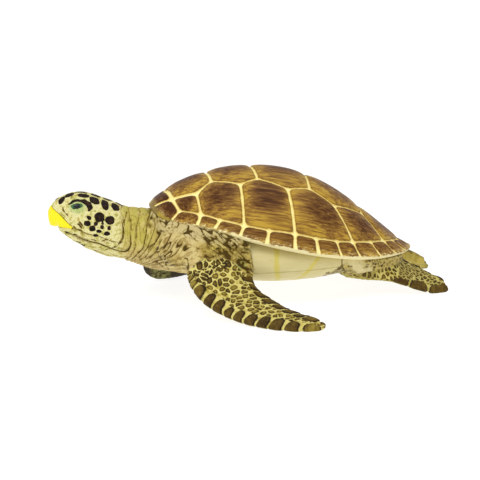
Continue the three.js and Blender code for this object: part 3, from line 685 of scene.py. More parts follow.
def outline_distance(outline, x, y):
    """Distance to a closed outline on a plane, negative inside."""
    outline = np.asarray(outline, float)
    shape = np.broadcast(x, y).shape
    x, y = (np.broadcast_to(v, shape).ravel() for v in (x, y))
    nearest = np.full(len(x), np.inf)
    for a, b in zip(outline, np.roll(outline, -1, axis=0)):
        run = b - a
        t = np.clip(((x - a[0]) * run[0] + (y - a[1]) * run[1]) / (run @ run), 0, 1)
        nearest = np.minimum(nearest, np.hypot(x - a[0] - t * run[0], y - a[1] - t * run[1]))
    return np.where(inside(outline, x, y), -nearest, nearest).reshape(shape)


def plastron_outline():
    lobe, bridge = PLASTRON_LOBE, PLASTRON_BRIDGE
    x = lobe["centre"] - lobe["length"] * np.cos(np.linspace(0, np.pi, 61))
    width = lobe["width"] * np.sqrt(np.maximum(1 - ((x - lobe["centre"]) / lobe["length"]) ** 2, 0))
    along = np.abs((x - bridge["centre"]) / bridge["length"])
    width += bridge["width"] * np.exp(-along ** bridge["fullness"])
    right = np.stack([x, width], 1)
    return np.concatenate([right, right[-2:0:-1] * [1, -1]])


def above_plastron(y, z):
    """Cells over the belly, where the bowl closes above the plastron."""
    return (np.abs(y)[:, None] < PLASTRON_SIDE) & (z > PLASTRON_TOP)


def flesh_shapes():
    """Level sets of every fleshy body, by name."""
    shapes = {
        "head": sectioned(HEAD_SECTIONS, 2.25),
        "bowl": sectioned(BOWL_SECTIONS, 2.5),
        "tail": sectioned(TAIL_SECTIONS, 2.2),
    }
    for side, name in ((-1, "left"), (1, "right")):
        shapes["shoulder_" + name] = ellipsoid(*SHOULDER, side)
        shapes["hip_" + name] = ellipsoid(*HIP, side)
        shapes["lid_" + name] = ellipsoid(*EYELID, side)
        shapes["eye_" + name] = ellipsoid(*EYE, side)
        shapes["lap_" + name] = lap(side)
    for name, frames in FRAMES.items():
        shapes[name] = flipper(frames)
    return {name: level_set(*shape) for name, shape in shapes.items()}


def figure_field():
    low = np.array(cad_box[0]) / MM - ORIGIN - 3
    high = np.array(cad_box[1]) / MM - ORIGIN + 3
    return Field(low, high)


def build_plastron(parts, shell, material):
    """Belly plate: the skin of the bowl inside its outline, clear of the shell and the flippers."""
    field = figure_field()
    x, y, z = field.grid_points()
    plan = outline_distance(plastron_outline(), x[:, None], y[None, :])[..., None]
    mine, bowl = field.window(parts["bowl"])
    plate = np.maximum(bowl, -(bowl + PLASTRON_THICKNESS))
    plan = np.broadcast_to(plan, field.array.shape)[mine]
    field.array[mine] = -smooth_low(-plate, -plan, 1.0)
    field.array[:, above_plastron(y, z)] = BAND
    field.cut(shell, 0.4, GAP)
    for name in FLIPPERS:
        field.cut(parts[name], 0.8, GAP)
    points, faces = field.surface()
    points = points + normals_of(points, faces) * 0.1 * noise(points, 6, 21)[:, None]
    scaly = (1 - ivory_paint(points)) * ramp(14, 24, points[:, 0]) * (np.abs(points[:, 1]) > 35)
    make_piece("belly_plate", points, faces, "plastron", ["plastron"], material,
               seam=belly_seams(points), low=np.abs(points[:, 2] - CREASE_Z), scaly=scaly)


def ivory_paint(points):
    """Where the ivory of the bridge reaches over the hip: above one slanting line, or behind the other."""
    x, _, z = points.T
    reach = 1.2 * noise(points, 4, 22) + 0.8 * noise(points, 1.8, 23)

    def over(line):
        (x0, z0), (x1, z1) = line
        return z - mix(z0, z1, (x - x0) / (x1 - x0)) + reach

    behind = ramp(-1.5, 1.5, over(HIP_FOLD)) * ramp(28, 32, x)
    return np.maximum(ramp(-1, 2, over(HIP_LINE)), behind) * ramp(52, 42, x + 0.6 * (z - 24) + 3 * reach)


def belly_seams(points):
    """Distance to the painted seams of the belly plate."""
    x, y, z = points.T
    side = np.abs(y)
    wander = 0.8 * noise(points, 12, 31)
    lines = (x + 12 + 0.06 * (side - 60), x - 14 - 0.9 * (z - 31), x + 46, x - 40, side - 46)
    seam = np.min([np.abs(line + wander) for line in lines], axis=0)
    return np.minimum(seam, side + np.abs(wander) * 0.3)


def flipper_place(frames, points):
    """Travel along a flipper, distance in from its leading and trailing edges, height and half width."""
    nearest = np.full(len(points), np.inf)
    index = np.zeros(len(points), int)
    for k, (middle, along) in enumerate(zip(frames["middle"], frames["along"])):
        offset = points - middle
        far = np.abs(offset @ along) + 0.15 * np.linalg.norm(offset, axis=1)
        closer = far < nearest
        nearest[closer], index[closer] = far[closer], k
    offset = points - frames["middle"][index]
    along, out, up = ((offset * frames[key][index]).sum(1) for key in ("along", "out", "up"))
    half = frames["half"][index]
    return frames["travel"][index] + along, half - out, half + out, up, half


def lot(numbers, salt):
    """A number from 0 to 1 for each numbered scale."""
    return hashed(np.stack([numbers, numbers], 1), salt)


def scale_row(travel, start, length, step):
    """Distance to the nearest cut across an edge row, each scale's number, share along it and length."""
    first, last = step
    share = np.clip((travel - start) / (length - start), -0.2, 1)
    place = (length - start) / (last - first) * np.log1p((last - first) / first * share)
    size = mix(first, last, share)
    cell = np.floor(place)
    return np.minimum(place - cell, cell + 1 - place) * size, cell, place - cell, size


def flipper_scales(name, frames, points):
    """Painted scales of a flipper: depth inside the border, darkness, height, travel and place across."""
    rules = SCALING[name.split("_")[0]]
    travel, lead, trail, up, half = flipper_place(frames, points)
    salt = 40 + 10 * list(FLIPPERS).index(name)
    length, start, trail_start = frames["travel"][-1], rules["start"], rules["trail_start"]
    wander = 0.6 * noise(points, 5, salt)

    # One row of large scales along the leading edge, and one along the trailing edge.
    early = rules["early"] * (1 - ramp(start - 2, start + 15, travel))
    cut, cell, _, size = scale_row(travel - early + 0.15 * lead + wander, start, length + 2, rules["step"])
    reach = np.minimum(rules["reach"], half) + noise(points, 9, salt + 1)
    reach = reach * (0.85 + 0.3 * lot(cell, salt + 5)) * ramp(start - 8, start + 24, travel)
    far = ((1 - 2 * cut / size) ** 2.6 + (np.maximum(lead, 0) / reach) ** 3) ** 0.36
    big = np.where(travel > start, (1 - far) * size / 2 - rules["gap"], -2)
    step = (rules["trail_step"], rules["trail_step"] + 0.5)
    cut, back_cell, along, _ = scale_row(travel + 0.5 * trail + wander, trail_start, length + 2, step)
    back_reach = np.minimum(rules["trail_reach"], 0.8 * half) * (0.8 + 0.4 * lot(back_cell, salt))
    back = np.where(travel > trail_start, smooth_low(cut - 0.5, back_reach - trail, 2.4) - 0.2, -2)

    # Small scales between them, in cross rows on the arm.
    across = lead + 1.4 * noise(points, 11, salt + 3) + 300 * (up < 0)
    place = np.stack([across, travel + wander + 0.2 * lead], 1)
    border, middle, number = cells(place, rules["small"], 0.8, salt + 4)
    border = smooth_low(border - 0.4, 0.56 * rules["small"][0] * (0.85 + 0.3 * number) - middle, 0.5)
    bend = travel + 0.12 * (lead - half) ** 2 / np.maximum(half, 1) + 1.2 * noise(points, 6, salt + 6)
    rows, _, row_number = cells(np.stack([across, bend], 1), (4.6, 2.5), 0.85, salt + 7)
    arm = ramp(rules["arm"] + 5, rules["arm"] - 5, travel + 0.5 * lead)
    border, number = mix(border, rows - 0.35, arm), np.where(arm > 0.5, row_number, number)
    small = np.minimum(border, np.where(travel > start, lead - reach + 1.3, 2))
    small = np.minimum(small, np.where(travel > trail_start, trail - back_reach + 0.2, 2))

    edge = np.maximum(np.maximum(big, back), small)
    first, second = big >= edge, back >= edge
    dark = np.where(first, 0.6 + 0.35 * lot(cell, salt), mix(0.05, 0.3, arm) + 0.5 * number)
    dark = np.where(second, 0.55 + 0.3 * along, dark)
    if rules["early"]:
        dark = np.where(first, dark * ramp(start - 8, start + 30, travel), dark)
    dark -= rules["faded"] * ramp(length - 13, length - 7, travel)
    height = np.where(first, rules["lift"], np.where(second, 0.4 + 0.6 * along, 0.42))
    return edge, dark, height, travel, trail / np.maximum(half, 1), up / np.maximum(half, 1)


# On the cheek: x, z, half length, half height.
CHEEK_SPOTS = [
    (-122.6, 60.6, 3.0, 2.9), (-129.3, 60.7, 1.4, 1.3), (-130.5, 57.1, 2.0, 1.8), (-125.1, 56.6, 1.3, 1.2),
    (-127.9, 53.5, 1.9, 1.8), (-123.3, 51.4, 1.5, 1.0), (-125.7, 48.8, 1.3, 1.0), (-121.3, 53.9, 1.1, 1.4),
    (-115.9, 58.2, 2.7, 2.6), (-116.6, 53.0, 1.1, 1.3), (-118.1, 49.6, 1.9, 1.2), (-120.9, 56.6, 0.8, 0.8),
]
# On the crown: x, way round from the midline, half length, half width.
CROWN_SPOTS = [
    (-147.1, 9.3, 2.2, 4.0), (-141.8, 6.2, 3.1, 3.4), (-134.0, 2.9, 4.0, 1.8), (-132.5, 9.0, 3.9, 2.9),
    (-125.5, 11.9, 3.3, 4.3), (-118.6, 12.5, 2.5, 5.6), (-112.0, 10.8, 2.6, 5.0), (-125.0, 3.2, 3.4, 2.4),
    (-117.0, 3.0, 3.0, 2.2), (-109.5, 2.6, 2.6, 2.2), (-150.6, 2.2, 1.6, 1.5),
]
# Dark brow over the eye and line of the jaw: x, z, half width along each.
BROW = [(-142.2, 69.9, 0.45), (-139.4, 71.6, 0.75), (-136, 72.3, 0.8), (-132, 71.4, 1.2), (-129.2, 69.4, 1.8),
        (-128.1, 67.1, 1.7), (-129, 65.6, 1.0)]
JAW_LINE = [(-151.0, 53.0, 0.35), (-147.6, 51.4, 0.75), (-143.5, 50.9, 0.5), (-138.4, 49.9, 0.3)]
CHIN_LINES = [
    [(-139.5, 45.6, 0.35), (-136.6, 44.6, 0.45)],
    [(-136.8, 47.0, 0.2), (-132.0, 45.8, 0.4), (-128.2, 44.6, 0.2)],
    [(-136.0, 43.0, 0.3), (-134.0, 42.2, 0.4)],
]


# Creases of the face and the first fold of the neck: x, z, half width along each.
CREASES = [
    [(-146.6, 68.6, 0.1), (-146.2, 66.3, 0.25), (-144.0, 63.5, 0.3), (-141.8, 60.4, 0.2),
     (-140.2, 57.7, 0.1)],
    [(-139.9, 55.2, 0.35), (-138.2, 53.2, 0.4), (-135.3, 52.4, 0.3), (-133.0, 50.2, 0.1)],
    [(-137.0, 64.0, 0.25), (-135.0, 64.5, 0.45)], [(-135.9, 58.4, 0.2), (-133.6, 55.4, 0.4)],
    [(-136.6, 56.6, 0.3), (-134.8, 54.3, 0.3)], [(-131.5, 61.5, 0.1), (-130.0, 62.6, 0.2)],
    [(-122.2, 44.6, 0.5), (-118.0, 45.6, 0.4)], [(-129.0, 46.6, 0.25), (-126.0, 45.4, 0.35)],
    [(-104.2, 63.6, 0.2), (-106.2, 57.5, 0.35), (-107.1, 53.0, 0.4), (-107.8, 48.2, 0.5), (-109.2, 44.2, 0.5),
     (-112.0, 41.0, 0.55), (-116.9, 39.2, 0.35), (-121.0, 38.6, 0.1)],
]
# The folds of neck and shoulder fan out from a point low on the throat: x, z.
FAN = (-102.8, 10)
FAN_RADIUS = 45
FOLD_STEP = 5


def stroke(line, x, z):
    """Depth inside a brush stroke drawn along points of varying half width."""
    depth = np.full(len(x), -np.inf)
    for (x0, z0, r0), (x1, z1, r1) in zip(line, line[1:]):
        t = np.clip(((x - x0) * (x1 - x0) + (z - z0) * (z1 - z0)) / ((x1 - x0) ** 2 + (z1 - z0) ** 2), 0, 1)
        depth = np.maximum(depth, mix(r0, r1, t) - np.hypot(x - mix(x0, x1, t), z - mix(z0, z1, t)))
    return depth


def head_marks(points, normals):
    """Depth inside the nearest dark mark of the head, negative outside all of them."""
    x, y, z = points.T
    wobble = 0.35 * noise(points, 1.8, 61)
    depth = np.full(len(points), -4.0)
    crown = np.interp(x, [k[0] for k in HEAD_SECTIONS], [k[1] for k in HEAD_SECTIONS])
    girth = np.abs(y) + 0.8 * np.maximum(crown - z, 0)
    on_side, on_top = np.abs(y) > 8, normals[:, 2] > -0.1
    for group, across, allowed, grow in ((CHEEK_SPOTS, z, on_side, 1.1), (CROWN_SPOTS, girth, on_top, 1.0)):
        for cx, cy, rx, ry in group:
            rx, ry = rx * grow, ry * grow
            far = (np.abs((x - cx) / rx) ** 2.6 + np.abs((across - cy) / ry) ** 2.6) ** (1 / 2.6)
            depth = np.where(allowed, np.maximum(depth, (1 - far) * min(rx, ry)), depth)
    for line in (BROW, JAW_LINE, *CHIN_LINES):
        depth = np.where(on_side, np.maximum(depth, stroke(line, x, z)), depth)
    return depth + wobble


def wrinkles(u, v, w, step, length, salt):
    """Meandering valleys across u: 0 in a valley, up to about 1 between."""
    return np.abs(noise(np.stack([u, v, w], 1), (step, length, length), salt))


def folds(points):
    """Wrinkles of the throat, neck and shoulders: depth of the valleys and swell between them."""
    x, y, z = points.T
    # Height above the line of jaw and throat, and place across and along the folds that fan out from FAN.
    height = z + 0.42 * (x + 141) - 45.5
    lean = x - FAN[0] + 0.03 * np.maximum(44 - z, 0) ** 2 * ramp(-62, -78, x)
    rise = np.maximum(z - FAN[1], 8)
    fan = np.where(lean > 0, FAN_RADIUS * np.arctan2(lean, rise), lean)
    u = -smooth_low(-fan, height - 4.0, 9) + 0.8 * noise(points, 9, 71)
    v = np.hypot(np.maximum(lean, 0), rise)
    place = np.stack([u, v, y], 1)
    # Broad folds ring the neck; shorter wrinkles and fine ones lie between them.
    phase = (u + 4.2) / FOLD_STEP + 0.3 * noise(place, (8, 14, 14), 72) + 0.16 * noise(place, (2.5, 5, 5), 73)
    broad = np.abs(np.sin(np.pi * phase))
    fine = wrinkles(u, v, y, 1.5, 6, 77)
    middle = wrinkles(u, v, y, 2.6, 9, 78)
    low = ramp(13, 7, height) * ramp(-151, -144, x)
    neck = ramp(-113, -107, x)
    strength = np.maximum(neck * mix(1, 0.6, ramp(58, 63, z) * ramp(-70, -90, x)), low) * ramp(-20, -40, x)
    ringed = strength * ramp(-58, -82, x)
    broken = ramp(-0.45, 0.3, noise(place, (3.5, 8, 8), 75))
    valley = (1 - ramp(0.05, 0.42, broad)) * (0.65 + 0.35 * broken) * ringed
    shoulder = ramp(-100, -84, x)
    strokes = (1 - ramp(0.02, 0.24, middle)) * mix(0.35, 1.0, broken * shoulder) * strength
    valley = np.maximum(valley, strokes * mix(0.6, 1, shoulder))
    valley = np.maximum(valley, 0.42 * (1 - ramp(0.02, 0.25, fine)) * strength)
    for line in CREASES:
        depth = stroke(line, x, z) + 0.5 * noise(points, 1.6, 79) + 0.3 * noise(points, 4, 80)
        valley = np.maximum(valley, 0.8 * ramp(-0.35, 0.35, depth) * (np.abs(y) > 6))
    swell = mix(ramp(0, 0.8, middle), ramp(0, 0.9, broad), ringed) * strength
    return valley, swell


def skin_field(parts, shell):
    """Head, trunk, tail and flippers smoothly joined, with room for shell, plastron, beak and eyes."""
    field = figure_field()
    field.join(parts["bowl"], 1)
    for name in ("shoulder_left", "shoulder_right", "hip_left", "hip_right"):
        field.join(parts[name], 9)
    x, y, z = field.grid_points()
    plan = outline_distance(plastron_outline(), x[:, None], y[None, :])
    mine, bowl = field.window(parts["bowl"])
    pocket = np.full(field.array.shape, BAND, np.float32)
    pocket[mine] = np.maximum(plan[mine[:2]][..., None], -(bowl + PLASTRON_THICKNESS))
    pocket[:, above_plastron(y, z)] = BAND
    field.cut((field.low, pocket), 1.2, GAP)
    field.join(parts["head"], 9)
    field.join(parts["tail"], 5)
    for name in ("lap_left", "lap_right"):
        field.join(parts[name], 3)
    for name in FLIPPERS:
        field.join(parts[name], 7 if "fore" in name else 6)
    for name in ("lid_left", "lid_right"):
        field.join(parts[name], 1.6)
    for name in ("eye_left", "eye_right"):
        field.cut(parts[name], 0.5, GAP * 0.4)
    mine, head = field.window(parts["head"])
    beak = outline_distance(BEAK_PROFILE, x[mine[0]][:, None], z[mine[2]][None, :])[:, None, :]
    field.cut((field.low + [s.start for s in mine], np.broadcast_to(beak, head.shape)), 0.5, GAP)
    field.cut(shell, 0.6, GAP)
    floor = np.broadcast_to(z[None, None, :], field.array.shape)
    field.cut((field.low, floor), 0.8, 0.05)
    return field


def build_skin(parts, shell, material):
    """One skin over head, neck, trunk, tail and flippers, with folds, scales and painted marks."""
    points, faces = skin_field(parts, shell).surface()
    normals = normals_of(points, faces)
    near = {name: sample(part, points) for name, part in parts.items()}
    trunk = np.min([near[name] for name in near if name not in FLIPPERS and "eye" not in name], axis=0)

    border, middle, number = cells(points, (2.7, 2.5, 2.4), 0.9, 81)
    edge = smooth_low(border - 0.3, 1.6 * (0.85 + 0.3 * number) - middle, 0.4)
    dark, height = 0.15 + 0.6 * number, np.full(len(points), 0.3)
    scaly, under, far_side = np.zeros((3, len(points)))
    for name, frames in FRAMES.items():
        rules = SCALING[name.split("_")[0]]
        at = near[name] < 2.5
        own_edge, own_dark, own_height, travel, across, rise = flipper_scales(name, frames, points[at])
        start = rules["skin"] + 3 * noise(points[at], 7, 83)
        start += 14 * ramp(0.75, 0.2, across) * (rules["arm"] > 0)
        on = ramp(-2.0, 2.0, trunk[at] - near[name][at] + 1.5) * ramp(start - 2, start + 2, travel)
        wins = np.flatnonzero(at)[on > 0.5]
        for whole, own in ((edge, own_edge), (dark, own_dark), (height, own_height)):
            whole[wins] = own[on > 0.5]
        scaly[at] = np.maximum(scaly[at], on)
        below = ramp(0.05, 0.3, -(normals[at] * frames["up"].mean(0)).sum(1)) * ramp(0.02, -0.1, rise)
        under[at] = np.maximum(under[at], below * on)
        # Painted shade on the far fore flipper, on its faces that do not turn towards +Y.
        turned = ramp(0.35, 0.0, normals[at][:, 1])
        far_side[at] = np.maximum(far_side[at], on * turned * (name == "fore_right"))

    x, y, z = points.T
    valley, swell = folds(points)
    head = ramp(*ZONES["head"], x) * (np.abs(y) < 25)
    spots = head_marks(points, normals)
    armpit = np.maximum(ramp(14, 6, near["fore_left"]) * ramp(-62, -50, x) * (y < 0),
                        ramp(14, 6, near["fore_right"]) * ramp(-88, -78, x) * (y > 0))
    lapped = ramp(2.5, 0.5, np.minimum(near["lap_left"], near["lap_right"])) * ramp(40, 46, z)
    flaky = np.maximum(armpit, lapped) * ramp(-90, -80, x) * ramp(-14, -24, x)
    down, along = 0.65 * x + 0.76 * z + 1.2 * noise(points, 5, 87), 0.76 * x - 0.65 * z
    flakes = np.minimum(wrinkles(down, along, y, 2.2, 7, 85),
                        0.8 * wrinkles(down, along, y, 1.3, 3.5, 86) + 0.08)
    sparse = ramp(-0.5, 0.4, noise(points, 4, 88) + 0.5 * armpit)
    mossy = np.exp(-((x - MOSS[0]) ** 2 + (z - MOSS[1]) ** 2) / MOSS[2] ** 2) * (np.abs(y) > 50)
    tail = ramp(1.5, 0.5, near["tail"]) * ramp(*ZONES["tail"], x)
    pebbly = ramp(*ZONES["pebbly"], x) * (1 - tail)
    curls = (1 - ramp(0.03, mix(0.22, 0.34, armpit), flakes)) * (0.3 + 0.7 * sparse)
    bare = 1 - scaly
    valley = mix(valley, curls, flaky) * bare

    relief = height * (ramp(-0.3, 0.8, edge) - 0.5)
    lift = relief * (scaly * (1 - 0.6 * under) + pebbly * bare * 0.9) - 0.75 * valley
    lift += mix(0.75 * swell, 0.5 * ramp(0, 0.5, flakes), flaky) * bare
    lift += 0.12 * noise(points, 2.2, 91) * (1 - 0.6 * head) + 0.25 * noise(points, 7, 92) * (1 - head)
    lift += 0.22 * ramp(-0.5, 0.3, spots) * head + 0.1 * noise(points, 3.5, 93) * head
    points = points + normals * lift[:, None]
    points[:, 2] = np.maximum(points[:, 2], 0.03)
    (ex, _, ez), _ = EYE
    green = ramp(8, 3.4, np.hypot(x - ex, (z - ez) * 1.3)) * (np.abs(y) > 6)
    ivory = ivory_paint(points) * ramp(*ZONES["ivory"], x) * (np.abs(y) > 30)
    make_piece(
        "painted_skin", points, faces, "skin", SKIN_NODES, material,
        edge=edge, dark=dark, scaly=scaly, pebbly=pebbly * bare, valley=valley, head=head, spots=spots,
        under=under * (1 - far_side), far_side=far_side, armpit=armpit * bare, green=green,
        lapped=lapped * bare, tail=tail * bare, top=ramp(-0.1, 0.5, normals[:, 2]), ivory=ivory,
        mossy=mossy * bare, reach=(x - FAR_SPAN[0]) / (FAR_SPAN[1] - FAR_SPAN[0]), hind=ramp(*ZONES["hind"], x),
        neck=ramp(-114, -106, x) * ramp(-80, -92, x) * ramp(34, 44, z))


FRAMES = {name: flipper_frames(keys) for name, keys in FLIPPERS.items()}


def build_beak(material):
    """Hooked beak: the front of the head cut by its side profile."""
    field = Field((-161, -18, 48), (-136, 18, 76), BEAK_PITCH)
    field.join(level_set(*sectioned(HEAD_SECTIONS[:10], 2.25), BEAK_PITCH), 0.1)
    x, _, z = field.grid_points()
    profile = outline_distance(BEAK_PROFILE, x[:, None], z[None, :])[:, None, :]
    field.cut((field.low, np.broadcast_to(-profile, field.array.shape)), 0.9)
    points, faces = field.surface()
    points = points + normals_of(points, faces) * 0.06 * noise(points, (6, 3, 3), 51)[:, None]
    make_piece("beak_sheath", points, faces, "beak", ["beak"], material)


def build_eye(side, name, material):
    """Glossy eyeball, whose iris and pupil are painted by the distance from the pupil's middle."""
    (cx, cy, cz), radii = EYE
    points, triangles = ellipsoid((cx, cy, cz), radii, side, 48, 96, 0.02, EYE_SWELL)
    make_piece("eyeball_" + name, points, triangles, "eye", ["eye_" + name], material,
               iris=np.hypot((points[:, 0] - cx - PUPIL_SHIFT) / 1.15, points[:, 2] - cz))


# Materials

def linear(code):
    """Linear colour of a paint's hex code."""
    shares = (int(code[k:k + 2], 16) / 255 for k in (1, 3, 5))
    return *(((c + 0.055) / 1.055) ** 2.4 if c > 0.04 else c / 12.92 for c in shares), 1


class Value:
    """A number or a colour worked out by a paint's nodes."""

    def __init__(self, paint, socket):
        self.paint, self.socket = paint, socket

    def __add__(self, other):
        return self.paint.math("ADD", self, other)

    def __mul__(self, other):
        return self.paint.math("MULTIPLY", self, other)

    def __rsub__(self, other):
        return self.paint.math("SUBTRACT", other, self)

    def spread(self, amount):
        """Noise centred on zero and scaled."""
        return self.paint.math("MULTIPLY_ADD", self, amount, -amount / 2)

    def step(self, low, high, start=0.0, stop=1.0):
        """Smooth step between low and high."""
        inputs = {"Value": self, "From Min": low, "From Max": high, "To Min": start, "To Max": stop}
        settings = {"interpolation_type": "SMOOTHSTEP", "clamp": True}
        return self.paint.node("ShaderNodeMapRange", "Result", inputs, **settings)

    def stops(self, stops):
        """Colour at this number, among colours by place."""
        value = self.paint.node("ShaderNodeValToRGB", "Color", {"Fac": self})
        elements = value.socket.node.color_ramp.elements
        while len(elements) < len(stops):
            elements.new(0.5)
        for element, (place, colour) in zip(elements, stops.items()):
            element.position, element.color = place, linear(colour)
        return value

    def coat(self, share, colour):
        """This colour, covered with another where share is 1."""
        return self.paint.mix(share, self, colour)


class Paint:
    """A painted-plastic material and short ways of wiring its nodes."""

    def __init__(self, name, roughness, coat=0.0, gloss=0.06):
        self.material = bpy.data.materials.new(name)
        self.material.use_nodes = True
        self.tree = self.material.node_tree
        self.shader = self.tree.nodes["Principled BSDF"]
        self.wire(self.shader, {"Roughness": roughness, "Coat Weight": coat, "Coat Roughness": 0.25,
                                "Specular IOR Level": gloss})

    def wire(self, node, inputs):
        """Give a node its inputs: numbers, hex codes or values."""
        for key, value in inputs.items():
            if isinstance(value, Value):
                self.tree.links.new(value.socket, node.inputs[key])
            else:
                node.inputs[key].default_value = linear(value) if isinstance(value, str) else value

    def node(self, kind, output, inputs, **settings):
        """One output of a new node."""
        node = self.tree.nodes.new(kind)
        for key, value in settings.items():
            setattr(node, key, value)
        self.wire(node, inputs)
        return Value(self, node.outputs[output])

    def fields(self, names):
        """The mesh's fields of these names."""
        return [self.node("ShaderNodeAttribute", "Fac", {}, attribute_name=name) for name in names.split()]

    def noise(self, size, detail=3, rough=0.55, seed=0, pitch=0.0):
        """Noise from 0 to 1 with features about size millimetres wide; size may differ by axis."""
        size = size if isinstance(size, tuple) else (size,) * 3
        place = self.node("ShaderNodeMapping", "Vector", {
            "Vector": self.node("ShaderNodeTexCoord", "Object", {}), "Scale": [s * MM for s in size],
            "Location": [seed * 0.31, seed * 0.57, seed * 0.73], "Rotation": [0, pitch, 0],
        }, vector_type="TEXTURE")
        inputs = {"Vector": place, "Scale": 1.0, "Detail": detail, "Roughness": rough}
        return self.node("ShaderNodeTexNoise", "Fac", inputs)

    def math(self, operation, *values):
        return self.node("ShaderNodeMath", 0, dict(enumerate(values)), operation=operation)

    def mix(self, share, a, b):
        """Colour between a and b."""
        return self.node("ShaderNodeMix", 2, {"Factor": share, 6: a, 7: b}, data_type="RGBA")

    def finish(self, colour, height, depth, rough=None):
        """The material, painted and bumped up to depth millimetres."""
        inputs = {"Strength": 1.0, "Distance": depth * MM, "Height": height}
        self.wire(self.shader, {"Base Color": colour, "Normal": self.node("ShaderNodeBump", "Normal", inputs)})
        if rough is not None:
            self.wire(self.shader, {"Roughness": rough})
        return self.material


def paint_carapace():
    """Ochre plates streaked with dark brown along the body, and cream paint in the seams."""
    p = Paint("carapace_paint", 0.4)
    tone, edge, marginal, fall, under, lapped, nape = p.fields("tone edge marginal fall under lapped nape")
    streak = p.noise((26, 1.9, 1.5), 3, 0.6, 1, SHELL_PITCH)
    fine = p.noise((11, 0.7, 0.5), 2, 0.6, 2, SHELL_PITCH)
    cloud = p.noise((12, 8, 7), 2, 0.5, 3, SHELL_PITCH)
    body = tone * 0.62 + 0.2
    rim = fall.step(0.3, 1.0, 0.64, 0.28) + tone * 0.34
    strokes = streak.spread(1.7) + fine.spread(1.0)
    value = marginal * rim + (1 - marginal) * body + strokes + cloud.spread(0.7)
    colour = value.stops({
        0.0: "#ba963a", 0.2: "#a58032", 0.42: "#86612c", 0.66: "#6e4a21",
        0.88: "#583618", 1.0: "#482a14"})
    flecks = p.noise((3.5, 1.2, 1.0), 3, 0.7, 4).step(0.5, 0.62)
    colour = colour.coat(flecks * (fall.step(0.6, 1.0, 0, 0.9) * marginal), "#e8d496")
    # Dark brown beside the seams: the toy's dark plate edging and painted shade where plates dip into the sunk
    # seams.
    colour = colour.coat((edge + fine.spread(0.5)).step(0.9, 0.15, 0, 0.45), "#54341c")
    border = edge + p.noise(0.8, 2, 0.6, 5).spread(0.7)
    cream = p.mix(edge.step(0.1, -0.8), "#e0c268", "#f8eca0")
    colour = colour.coat(border.step(0.22, -0.08), cream)
    ragged = p.noise((4, 3, 2.2), 3, 0.65, 6).spread(1.6) + cloud.spread(0.8)
    lip = fall.step(0.84, 1.0, 0, 0.75) + under * 0.25 + lapped * 0.4 + ragged
    lip_paint = p.mix(lapped * ragged.step(0.25, -0.15), "#e8dca6", "#a89254")
    colour = colour.coat(lip.step(0.8, 1.2), lip_paint)
    hem = p.mix(cloud.step(0.4, 0.6), "#a8923a", "#80682c")
    colour = colour.coat((nape + ragged * 0.7).step(0.2, 0.8, 0, 0.9), hem)
    grain = streak + fine * 0.7 + p.noise(0.5, 2, 0.5, 7) * 0.3
    return p.finish(colour, grain, 0.16, streak.step(0.3, 0.7, 0.36, 0.48))


